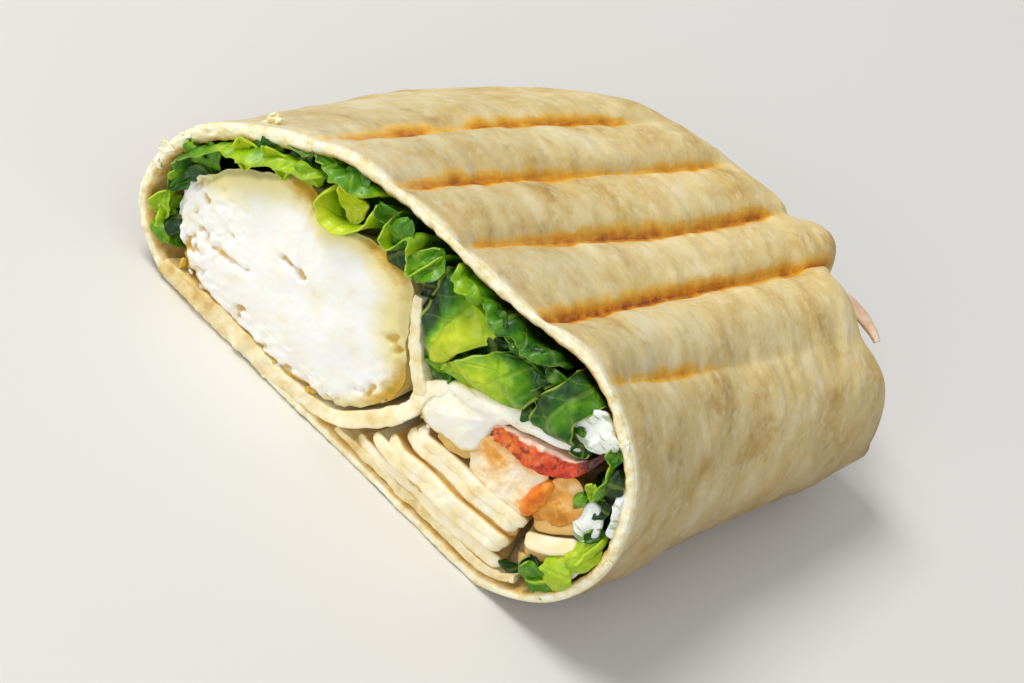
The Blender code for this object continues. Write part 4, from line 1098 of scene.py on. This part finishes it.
# The spinach
# Eleven young spinach leaves, some folded so that their face shows at the cut. Fresh leaf:
# thin, quilted between its veins, waxy. Light and shade are painted on it: brighter where it is
# folded towards the light or light comes through, darker further in and where it is turned away.
# A leaf's thickness, the share of it that is drawn, so that its edge looks thin, and how far its
# pattern lies from the next leaf's
LEAF, LEAF_PART, PATTERN_STEP = 0.75, 0.85, 7.0
# How far into the roll the rows behind a folded leaf's face lie, as shares of its depth
FOLD_ROWS = (0.004, 0.012, 0.03, 0.06, 0.12, 0.25, 0.45, 0.7, 1.0)
# Its face has a wave, as (height, pace across it), a bulge and two kinds of ripples, as (height,
# size), and its sides wander
FACE_WAVE, FACE_BULGE, FACE_RIPPLE, FACE_FINE = (0.5, 6.5), 0.6, (0.7, 3.4), (0.25, 1.3)
FACE_WANDER, WANDER_SIZE = 0.8, 2.6
# A leaf is thinner at both ends, over so many columns, and at the cut, to this share of its depth
TAPER_COLUMNS, CUT_THIN, CUT_THIN_SHARE = 5.0, 0.5, 0.03


def young_spinach():
    """Spinach: waxy green skin with faint paler veins; light and shade are painted into it, with paler edges
    where light comes through.
    """
    look = Food("young_spinach_leaf", 0.4, 1.38, subsurface=0.12, subsurface_size=0.6, coat=0.1)
    spot = look.mark("leaf", "Vector")
    off_rib = look.math("ABSOLUTE", look.axis(spot, "X"))
    rib = look.fade(off_rib, 0.1 * METRES, 0.55 * METRES, 0.9, 0.0)
    slanted = look.math("MULTIPLY_ADD", off_rib, 0.8, look.axis(spot, "Y"))
    vein = look.fade(look.math("PINGPONG", slanted, 2.1 * METRES), 0.0, 0.4 * METRES, 0.6, 0.0)
    net = look.cells(1.7, spot, "SMOOTH_F1")
    veins = look.math("MAXIMUM", rib, vein)
    cloud = look.clouds(2.4, 5.0, 0.62)
    tone = look.math("SUBTRACT", look.math("MULTIPLY_ADD", cloud, 0.8, look.mark("shade")), 0.4)
    colour = look.ramp(tone, (0.0, "103402"), (0.2, "225a02"), (0.46, "528c04"), (0.72, "93b80a"),
                       (1.0, "c3d226"))
    colour = look.mix(look.math("MULTIPLY", veins, 0.16), colour, "bcd350")
    # Painted highlight: pale where light comes through the leaves' cut edges
    colour = look.mix(look.mark("edge"), colour, "c2d955")
    height = look.math("MULTIPLY_ADD", veins, -0.7, net)
    return look.finish(colour, look.math("MULTIPLY_ADD", cloud, 0.8, height), 0.7, 0.3)


def leaf(name, path, fronts, shades, share=0.9, thickness=LEAF, droop=0.8, ruffle=0.9, ruffle_size=2.8,
         seed=0):
    """A leaf that follows a path on the cut; its edge there comes and goes in waves."""
    centres, along, deep = ribbon(path, fronts, share, droop, pitch=0.33, ruffle=ruffle,
                                  ruffle_size=ruffle_size, jag=0.4, corners=2.5, seed=seed)
    taper = np.minimum(1.0, 0.35 + from_ends(len(along)) / TAPER_COLUMNS)
    thin = np.minimum(1.0, CUT_THIN + STATIONS / CUT_THIN_SHARE)
    thick = LEAF_PART * thickness * np.outer(thin, taper)
    places, faces, row, column, side = sheet(centres, thick, edge_points=1)
    pattern = np.full(len(row), PATTERN_STEP * seed)
    spots = np.stack([along[column] - along[-1] / 2, deep[row], pattern], axis=1)
    # Painted light and shade: the shades along the leaf, and darker further into the roll
    shade = spread(shades, len(along))[column] + 0.12 - 0.5 * rise(deep[row], 0.0, 5.0)
    # Painted highlight: the edge mark makes the cut edge pale
    piece(name + "_spinach", places, faces, spinach, "spinach", [name], sharp=85.0, leaf=spots * METRES,
          shade=shade, edge=0.55 * (np.abs(side) < 0.99))


def face_leaf(name, above, face, below, shades, columns=44, share=0.85, seed=0):
    """A folded leaf that shows its face at the cut, with both ends running in.

    Each row across the leaf is (left c, right c, left z, right z, how far it stands back); the
    shades are a table from its upper left to its lower right, which paints its light and shade.
    """
    rows = [(*above, station * share, 0.0) for station in FOLD_ROWS[::-1]]
    dense = smooth_curve(face, steps=10)
    rows += [(*row[:4], 0.0, row[4]) for row in dense]
    rows += [(*below, station * share, 0.0) for station in FOLD_ROWS]
    across = np.linspace(0.0, 1.0, columns)
    side = 2.0 * across - 1.0
    shades = np.array(shades, float)
    grid, spots, tones = [], [], []
    for number, (left, right, left_z, right_z, station, front) in enumerate(rows):
        c = left + (right - left) * across
        z = left_z + (right_z - left_z) * across
        flat = np.column_stack([c, z, np.full(columns, station * 20.0)])
        c = c + FACE_WANDER * uneven(flat, WANDER_SIZE, seed + 1) * (0.3 + 0.7 * np.abs(side))
        wave = FACE_WAVE[0] * np.sin(across * FACE_WAVE[1] + left_z)
        ripple = bumps(flat, (*FACE_RIPPLE, seed), (*FACE_FINE, seed + 2), base=wave)
        ripple = ripple + FACE_BULGE * (side ** 2 - 0.5)
        grid.append(filling(c, z, np.full(columns, station), front + ripple * (1.0 - station)))
        deep = station * FILLING_REACH * (1 if number > len(FOLD_ROWS) else -1)
        spots.append(np.column_stack([c - c.mean(), z - deep, np.full(columns, PATTERN_STEP * seed)]))
        down = np.clip((number - len(FOLD_ROWS)) / len(dense), 0.0, 1.0) * (len(shades) - 1)
        upper, lower = shades[int(down)], shades[min(int(down) + 1, len(shades) - 1)]
        tone = spread(upper + (lower - upper) * (down % 1), columns)
        # Painted shade: darker further into the roll
        tones.append(tone - 0.5 * rise(abs(deep), 0.0, 4.0))
    grid, spots, tones = np.array(grid), np.array(spots), np.array(tones)
    taper = np.minimum(1.0, 0.4 + from_ends(columns) / TAPER_COLUMNS)
    places, faces, row, column, _ = sheet(grid, LEAF_PART * LEAF * taper)
    # Painted highlight: the side edges are paler
    rim = from_ends(columns)[column] < 2
    piece(name + "_spinach", places, faces, spinach, "spinach", [name], sharp=85.0,
          leaf=spots[row, column] * METRES, shade=tones[row, column], edge=0.5 * rim)


spinach = young_spinach()
face_leaf("leaf_fold", (2.6, -10.4, 38.1, 37.7),
          ((2.4, -10.0, 37.4, 37.4, 0.8), (1.8, -9.3, 34.2, 35.0, 0.2), (0.5, -8.2, 31.0, 31.8, -0.9),
           (-1.6, -7.0, 27.6, 28.6, -1.0), (-3.4, -6.2, 25.2, 26.2, 0.2)), (-3.6, -6.0, 24.8, 25.8),
          ((0.0, 0.25, 0.7, 0.6, 0.5), (-0.1, 0.1, 0.7, 1.1, 0.9), (-0.1, 0.2, 1.0, 1.1, 1.0),
           (0.2, 0.6, 1.0, 1.0, 0.9)), seed=81)
face_leaf("leaf_broad", (-12.4, -20.3, 36.6, 37.8),
          ((-12.2, -20.3, 36.0, 37.1, 0.6), (-10.6, -20.3, 33.4, 34.9, -0.9), (-8.8, -20.2, 30.2, 32.4, -1.5),
           (-7.2, -20.0, 27.2, 30.4, -1.1), (-6.2, -19.7, 25.0, 29.1, 0.3)), (-6.4, -19.5, 24.5, 28.6),
          ((0.1, 0.15, 0.1, 0.0), (0.58, 0.74, 0.6, 0.2), (0.75, 0.85, 0.74, 0.42),
           (0.62, 0.74, 0.74, 0.6)), seed=82)
face_leaf("leaf_right", (-21.2, -27.6, 41.6, 40.0),
          ((-21.2, -27.4, 41.0, 39.6, 0.3), (-20.9, -27.0, 37.6, 37.2, -1.2),
           (-20.6, -26.8, 34.0, 34.6, -1.6), (-21.0, -27.8, 30.8, 32.7, -0.9),
           (-21.8, -28.8, 28.9, 31.7, 0.4)), (-21.9, -28.9, 28.5, 31.3),
          ((0.0, 0.1, 0.45, 0.2), (0.0, 0.1, 0.5, 0.25), (0.1, 0.25, 0.3, 0.2), (0.2, 0.25, 0.2, 0.3)),
          seed=83)
leaf("leaf_far", ((41.0, 12.4), (41.6, 17.2), (40.9, 22.4), (37.2, 27.4), (32.0, 31.6), (27.4, 33.9),
                  (24.2, 35.4)),
     (0.5, -0.8, -2.6, -1.6, -3.2, -2.0, -3.0), (0.65, 0.3, 0.2, 0.55, 0.6, 0.64, 0.58), seed=84)
leaf("leaf_low", ((41.0, 11.4), (38.6, 8.0), (34.9, 5.0)), (0.6, -0.6, 0.4), (0.7, 0.6, 0.3), thickness=0.9,
     ruffle=0.4, seed=85)
leaf("leaf_rim", ((31.6, 33.4), (28.0, 35.9), (23.4, 38.0), (16.4, 39.4)), (-0.8, -0.2, -2.4, -1.4),
     (0.1, 0.2, 0.35, 0.5), seed=86)
leaf("leaf_cup", ((22.3, 36.2), (21.8, 32.8), (19.2, 30.9), (16.0, 32.6), (14.4, 35.6), (16.0, 38.0)),
     (-1.2, -2.6, -2.2, -3.0, -2.4, -1.0), (0.8, 0.85, 0.9, 0.7, 0.75), share=0.6, ruffle=0.45, droop=0.5,
     seed=87)
leaf("leaf_crumple", ((13.2, 39.6), (11.8, 36.8), (9.9, 35.0), (8.4, 39.4), (6.7, 36.0), (4.8, 34.8),
                      (4.0, 39.6)),
     (-1.4, -2.6, -1.2, -2.4, -1.6, -2.6, -0.8), (0.3, 0.6, 0.3, 0.7, 0.35, 0.6), ruffle=0.4,
     ruffle_size=3.8, droop=0.5, seed=88)
leaf("leaf_top", ((2.2, 40.0), (-3.4, 39.9), (-7.4, 39.8), (-10.6, 40.4), (-14.0, 39.6), (-17.0, 41.0),
                  (-20.0, 40.4)),
     (-1.0, -2.4, -1.0, -3.0, -1.6, -3.0, -1.2), (0.5, 0.6, 0.2, 0.2, 0.25, 0.1), ruffle=1.0,
     ruffle_size=1.9, seed=89)
leaf("leaf_edge", ((-34.9, 27.8), (-36.4, 29.6), (-35.7, 32.0), (-33.8, 34.2)), (-0.6, -2.0, -1.2, -0.5),
     (0.4, 0.3, 0.45), seed=90)
leaf("leaf_near", ((-36.2, 7.4), (-39.0, 10.1), (-40.9, 14.4), (-41.5, 19.4), (-41.1, 23.6)),
     (0.2, -1.6, -0.8, -1.9, -0.3), (0.25, 0.5, 0.75, 0.8, 0.5), thickness=1.2, ruffle=0.6, seed=91)


# The torn scraps of spinach
# Where the knife went through the leaves, small torn scraps stuck between the larger ones, the
# egg and the tortilla's rim. The same leaf, curled and turned every way.
# Each scrap: its place (c, z), its size, how it is turned, its shade and how far it stands back.
# The darkest ones, set back, are leaf that also paints the shade in the gaps between the leaves
SCRAPS = ((41.0, 18.4, 9.4, 78, 0.2, 0.5), (39.6, 22.6, 6.4, 118, 0.25, 0.2),
          (41.4, 21.4, 3.6, 64, 0.75, 0.2), (39.8, 10.2, 4.6, 66, 0.65, 0.7),
          (37.8, 7.4, 5.6, 52, 0.5, 0.8), (37.6, 10.0, 6.4, 62, 0.0, 1.2), (34.8, 28.4, 5.0, 38, 0.8, -0.8),
          (30.4, 31.4, 5.2, 24, 0.85, -0.9), (26.2, 33.4, 4.2, 16, 0.75, -0.5),
          (33.4, 30.8, 6.6, 36, 0.0, 1.2), (28.6, 34.2, 6.2, 24, 0.0, 1.1),
          (24.6, 36.4, 4.2, 10, 0.25, 0.2), (20.4, 38.4, 4.6, 6, 0.2, 0.1),
          (19.0, 34.2, 6.2, 46, 1.25, 0.4), (13.4, 38.2, 4.2, 20, 0.2, -0.2),
          (9.8, 37.6, 6.0, 70, 0.35, -0.6), (8.8, 34.4, 7.0, 24, -0.1, 1.3),
          (4.4, 36.8, 6.4, 84, 0.3, -0.5), (1.6, 33.6, 7.4, 66, -0.1, 1.6),
          (-0.8, 29.6, 8.0, 58, -0.1, 1.6), (-4.6, 26.0, 5.4, 48, 0.0, 1.4),
          (-7.8, 28.8, 6.0, -62, -0.1, 1.6), (-10.6, 33.6, 7.0, -50, -0.1, 1.7),
          (-3.0, 38.9, 4.0, 0, 0.45, -1.0), (-8.4, 39.0, 3.8, -8, 0.3, -0.8),
          (-11.2, 38.6, 4.0, 14, 0.2, -0.7), (-13.8, 38.0, 3.6, -18, 0.25, -0.9),
          (-16.6, 39.2, 4.0, 18, 0.15, -0.6), (-19.6, 38.6, 3.6, -10, 0.1, -0.1),
          (-20.6, 34.5, 4.2, 82, 0.05, 0.2), (-20.9, 30.6, 4.0, 94, 0.1, 0.2),
          (-27.0, 33.4, 4.2, -58, 0.2, 0.2), (-29.8, 31.8, 3.0, -40, 0.25, 0.4),
          (-35.3, 28.4, 3.2, 72, 0.65, -0.6), (-34.8, 25.4, 3.0, 84, 0.45, -0.1),
          (-36.6, 31.6, 5.0, 60, 0.05, 0.5), (-33.8, 35.6, 3.2, 60, 0.1, 0.4),
          (-37.8, 26.6, 3.6, 80, 0.05, 0.6), (-34.6, 6.2, 3.6, 30, 0.1, 0.6),
          (-38.8, 9.4, 6.8, 50, 0.25, -0.5), (-37.4, 9.8, 5.2, 50, -0.05, 0.8),
          (-40.3, 13.8, 7.4, 66, 0.8, -0.6), (-41.0, 18.6, 6.4, 88, 0.7, -0.3),
          (-39.9, 22.6, 3.2, 102, 0.3, 0.1), (-6.3, 23.9, 6.0, 10, 0.25, 1.2),
          (-6.2, 25.0, 4.2, -30, 0.5, 1.1))
SCRAP_ROWS, SCRAP_COLUMNS, SCRAP_THICKNESS = 13, 17, 0.35
# A scrap's width as a share of its length, how pointed it is, and its ragged, bent and crumpled
# unevenness
SCRAP_WIDTH, SCRAP_POINTED = 0.36, 0.85
SCRAP_RAGGED, SCRAP_BENT, SCRAP_CRUMPLED = (0.35, 1.2, 101), (0.3, 1.4, 102), (0.6, 1.8, 103)


def scrap(number, c, z, size, turn, shade, back):
    """A curled, lens-shaped piece of leaf with a ragged edge."""
    along, across = np.meshgrid(np.linspace(-1, 1, SCRAP_COLUMNS), np.linspace(-1, 1, SCRAP_ROWS))
    spots = np.stack([along * size / 2, across * size / 2, np.full(along.shape, 13.0 * number)], axis=-1)
    ragged = bumps(spots * (1, 0, 1), SCRAP_RAGGED, base=1.0)
    width = SCRAP_WIDTH * size * (1.0 - SCRAP_POINTED * along ** 2) * ragged
    u, v = turned(bumps(spots, SCRAP_BENT, base=along * size / 2), across * width, turn)
    curl = 0.9 * np.cos(along * 2.2 + number) * size / 5 + (across ** 2 - 0.4) * math.sin(number * 1.7)
    grid = filling(c + u, z + v, 0.0 * u, back + bumps(spots, SCRAP_CRUMPLED, base=curl))
    places, faces, row, column, side = sheet(grid, SCRAP_THICKNESS)
    tone = shade + 0.15 * math.sin(number * 2.3) + 0.0 * side
    # Painted highlight: the scrap's cut edge is paler
    return places, faces, {"leaf": spots[row, column] * METRES, "shade": tone,
                           "edge": 0.4 * (np.abs(side) < 0.99)}


places, faces, marks = merged([scrap(number, *values) for number, values in enumerate(SCRAPS)])
piece("spinach_scraps", places, faces, spinach, "spinach", sharp=85.0, **marks)


# The white sauce
# Thick yoghurt sauce: smooth, wet and white, a blob beside the right leaf and smears along the
# near wall where it was pressed out of the leaves.
CREAM_BLOB = ((-26.4, 36.2), (-26.9, 38.5), (-29.0, 38.9), (-30.9, 37.7), (-32.0, 35.9), (-31.2, 34.0),
              (-28.9, 33.6), (-27.6, 34.4))
CREAM_SMEAR = ((-36.2, 22.0), (-35.7, 24.6), (-36.5, 26.4), (-38.0, 26.0), (-39.5, 24.0), (-40.0, 21.8),
               (-39.4, 20.4), (-37.6, 20.4))
# Thin smears on the rim's inner side
WALL_SMEARS = (((-38.2, 32.4), (-39.8, 29.8), (-41.2, 27.0), (-42.0, 24.6), (-41.2, 24.2), (-39.9, 26.8),
                (-38.6, 29.6), (-37.4, 32.0)),
               ((-41.4, 19.6), (-42.4, 16.4), (-42.0, 13.2), (-41.4, 13.4), (-41.6, 16.4), (-40.7, 19.2)))


def yoghurt_sauce():
    """Yoghurt sauce: opaque white with a wet gloss, faintly green where it took up leaf juice."""
    look = Food("thick_yoghurt_sauce", 0.2, 1.36, subsurface=0.3, subsurface_size=2.0)
    cloud = look.clouds(2.2, 3.0, 0.5, stretch=(1.0, 0.5, 1.4), distortion=1.2)
    colour = look.ramp(cloud, (0.4, "f5f7f2"), (0.52, "eef2e8"), (0.6, "bccbb0"), (0.7, "93ab7e"))
    return look.finish(colour, cloud, 0.25, 0.3)


def smeared_relief(ring):
    """Soft folds that the knife left in the sauce."""
    return 0.8 * uneven(ring * (1.0, 0.6), 2.4, 96) + 0.6 * np.abs(uneven(ring * (1.0, 0.5), 1.4, 98))


def sauce_piece(name, outline, bulge, lumps, swell, share, replaced=(), seed=0):
    """A blob or smear of sauce with an outline on the cut."""
    places, faces, *_ = chunk(outline, 110, 26, bulge, smeared_relief, 0.5, lumps, swell, share, seed)
    piece(name, places, faces, sauce, "cream", replaced, sharp=90.0)


sauce = yoghurt_sauce()
sauce_piece("cream_blob_sauce", CREAM_BLOB, 0.4, 1.2, 1.0, 0.7, ["cream_blob"], seed=95)
sauce_piece("cream_smear_sauce", CREAM_SMEAR, 0.1, 0.7, 0.3, 0.6, ["cream_smear"], seed=97)
for number, outline in enumerate(WALL_SMEARS):
    sauce_piece(f"wall_smear_{number + 1}", outline, 0.4, 0.5, 0.0, 0.12, seed=120 + number)


# The egg crumbs
# Bits of the egg that the knife tore off: white and golden lumps of half a millimetre to a
# millimetre and a half, lying between the egg and the tortilla and on the small piece of egg.
# Each bed of crumbs: its path on the cut, how deep it lies and how many crumbs on a square metre
CRUMB_BEDS = ((((33.0, 5.4), (28.0, 3.9), (20.0, 3.5), (11.0, 3.7), (4.0, 4.4)), 2.0, 0.5e6),
              (((-1.2, 10.4), (-3.8, 13.4), (-5.2, 16.2)), 2.0, 0.5e6),
              (((-9.6, 15.8), (-13.0, 15.3), (-17.0, 16.0)), 1.4, 0.5e6))
# The beds start this far behind the cut. Each crumb is turned any way and more or less golden
BED_START, BED_COLUMNS, CRUMB_SEED, CRUMB_TURN, CRUMB_YOLK = 0.2, 40, 7, 6.28, (0.1, 0.9)
CRUMB_SMALLEST, CRUMB_LARGEST, CRUMB_FLAT, CRUMB_LUMPS = 0.35, 0.85, (1.0, 0.85, 0.7), (0.45, 1.0, 111)
CRUMB_RINGS, CRUMB_COLUMNS = 5, 8


def crumb_shape():
    """One lumpy crumb with a radius of a millimetre, about its own middle."""
    turns = np.linspace(0.0, 2 * math.pi, CRUMB_COLUMNS, endpoint=False)
    rings = [np.column_stack([np.cos(turns) * math.sin(tilt), np.sin(turns) * math.sin(tilt),
                              np.full(CRUMB_COLUMNS, math.cos(tilt))])
             for tilt in np.linspace(0.0, math.pi, CRUMB_RINGS + 2)[1:-1]]
    places = np.vstack([np.concatenate(rings), [(0.0, 0.0, 1.0), (0.0, 0.0, -1.0)]])
    places = places * bumps(places, CRUMB_LUMPS, base=1.0)[:, None] * CRUMB_FLAT
    faces = grid_faces(CRUMB_RINGS, CRUMB_COLUMNS, closed=True) + cap_faces(CRUMB_RINGS, CRUMB_COLUMNS)
    return bare_mesh("crumb_shape", places + ORIGIN, faces)


def strewn_mesh(ground_mesh, shape_mesh, finish, settings):
    """A mesh of shapes strewn over a ground; a stored attribute says how gold each one is."""
    tree = bpy.data.node_groups.new("strewn", "GeometryNodeTree")
    kinds = {"Ground": "Geometry", "Shape": "Object", "Per square metre": "Float", "Smallest": "Float",
             "Largest": "Float", "Seed": "Int", "Finish": "Material"}
    for name, kind in kinds.items():
        tree.interface.new_socket(name, in_out="INPUT", socket_type="NodeSocket" + kind)
    tree.interface.new_socket("Strewn", in_out="OUTPUT", socket_type="NodeSocketGeometry")
    given = node(tree, "NodeGroupInput").outputs
    points = node(tree, "GeometryNodeDistributePointsOnFaces",
                  {"Mesh": given["Ground"], "Density": given["Per square metre"], "Seed": given["Seed"]})
    size = node(tree, "FunctionNodeRandomValue", {2: given["Smallest"], 3: given["Largest"]}).outputs[1]
    turn = node(tree, "FunctionNodeRandomValue", {1: (CRUMB_TURN,) * 3}, data_type="FLOAT_VECTOR").outputs[0]
    tone = node(tree, "FunctionNodeRandomValue", {2: CRUMB_YOLK[0], 3: CRUMB_YOLK[1]}).outputs[1]
    shape = node(tree, "GeometryNodeObjectInfo", {"Object": given["Shape"]}).outputs["Geometry"]
    lumps = node(tree, "GeometryNodeInstanceOnPoints",
                 {"Points": points.outputs["Points"], "Instance": shape, "Rotation": turn, "Scale": size})
    toned = node(tree, "GeometryNodeStoreNamedAttribute",
                 {"Geometry": lumps.outputs[0], "Name": "yolk", "Value": tone},
                 data_type="FLOAT", domain="INSTANCE")
    real = node(tree, "GeometryNodeRealizeInstances", {"Geometry": toned.outputs[0]})
    done = node(tree, "GeometryNodeSetMaterial", {"Geometry": real.outputs[0], "Material": given["Finish"]})
    node(tree, "NodeGroupOutput", {"Strewn": done.outputs[0]})

    ground, shape = shown("ground", ground_mesh), shown("shape", shape_mesh)
    values = {"Shape": shape, "Finish": finish, **settings}
    strewing = ground.modifiers.new("strewing", "NODES")
    strewing.node_group = tree
    for socket in tree.interface.items_tree:
        if socket.in_out == "INPUT" and socket.name in values:
            strewing[socket.identifier] = values[socket.name]
    depsgraph = bpy.context.evaluated_depsgraph_get()
    made = bpy.data.meshes.new_from_object(ground.evaluated_get(depsgraph))
    ground.modifiers.remove(strewing)
    for helper in (ground, shape):
        bpy.data.objects.remove(helper, do_unlink=True)
    return made


for number, (path, deep, per_square_metre) in enumerate(CRUMB_BEDS):
    steps = even_steps(smooth_curve(path), BED_COLUMNS)
    bed = np.array([filling(*steps.T, np.zeros(BED_COLUMNS), back) for back in (BED_START, deep / 2, deep)])
    bed_mesh = bare_mesh("crumb_bed", bed.reshape(-1, 3), grid_faces(len(bed), BED_COLUMNS))
    crumbs = strewn_mesh(bed_mesh, crumb_shape(), soft_egg,
                         {"Per square metre": per_square_metre, "Smallest": CRUMB_SMALLEST,
                          "Largest": CRUMB_LARGEST, "Seed": CRUMB_SEED + number})
    placed(f"egg_crumbs_{number + 1}", crumbs)


# The table, the lights and the camera
# A plain pale table top, one large soft light high on the far left, a weaker one from the front,
# and a camera where the photographer stood.
TABLE_HALF, TABLE_HEIGHT, TABLE_COLOUR = 2.0, -0.0001, "e9e7e3"
KEY_FROM, KEY_SIZE, KEY_POWER = (-0.42, 0.5, 0.74), 0.75, 26.0
FILL_FROM, FILL_SIZE, FILL_POWER = (-0.92, -0.2, 0.37), 1.4, 13.0
LIGHT_DISTANCE, LIGHT_TARGET, SKY_STRENGTH = 2.0, (0.0, 0.0, 0.02), 0.38
CAMERA_PLACE = (-0.4286, -0.1499, 0.3383)
CAMERA_TARGET = (-0.0199, 0.0013, 0.020)
CAMERA_UP = (0.2228, 0.8207, 0.5261)
CAMERA_LENS = 125.0

table_mesh = bpy.data.meshes.new("table_top")
corners = [(x * TABLE_HALF, y * TABLE_HALF, TABLE_HEIGHT) for x, y in ((-1, -1), (1, -1), (1, 1), (-1, 1))]
table_mesh.from_pydata(corners, [], [(0, 1, 2, 3)])
table_finish = Food("pale_table_top", 0.7, 1.45)
table_finish.shader.inputs["Base Color"].default_value = linear(TABLE_COLOUR)
table_mesh.materials.append(table_finish.material)
shown("table_top", table_mesh)


def aimed(place, target, up):
    """The place and turn of a camera or light that looks from a place at a target."""
    back = (Vector(place) - Vector(target)).normalized()
    right = Vector(up).cross(back).normalized()
    turn = Matrix((right, back.cross(right), back)).transposed()
    return Matrix.Translation(place) @ turn.to_4x4()


def soft_light(name, direction, size, power):
    """A round soft light that shines on the wrap from a direction."""
    lamp = bpy.data.lights.new(name, "AREA")
    lamp.shape = "DISK"
    lamp.size = size
    lamp.energy = power
    place = Vector(direction).normalized() * LIGHT_DISTANCE
    shown(name, lamp).matrix_world = aimed(place, LIGHT_TARGET, (0.0, 0.0, 1.0))


soft_light("key", KEY_FROM, KEY_SIZE, KEY_POWER)
soft_light("fill", FILL_FROM, FILL_SIZE, FILL_POWER)

world = bpy.data.worlds.new("studio")
world.use_nodes = True
world.node_tree.nodes["Background"].inputs["Color"].default_value = (1.0, 1.0, 1.0, 1.0)
world.node_tree.nodes["Background"].inputs["Strength"].default_value = SKY_STRENGTH
bpy.context.scene.world = world
bpy.context.scene.view_settings.view_transform = "Standard"

lens = bpy.data.cameras.new("camera")
lens.lens = CAMERA_LENS
camera = shown("camera", lens)
camera.matrix_world = aimed(CAMERA_PLACE, CAMERA_TARGET, CAMERA_UP)
bpy.context.scene.camera = camera
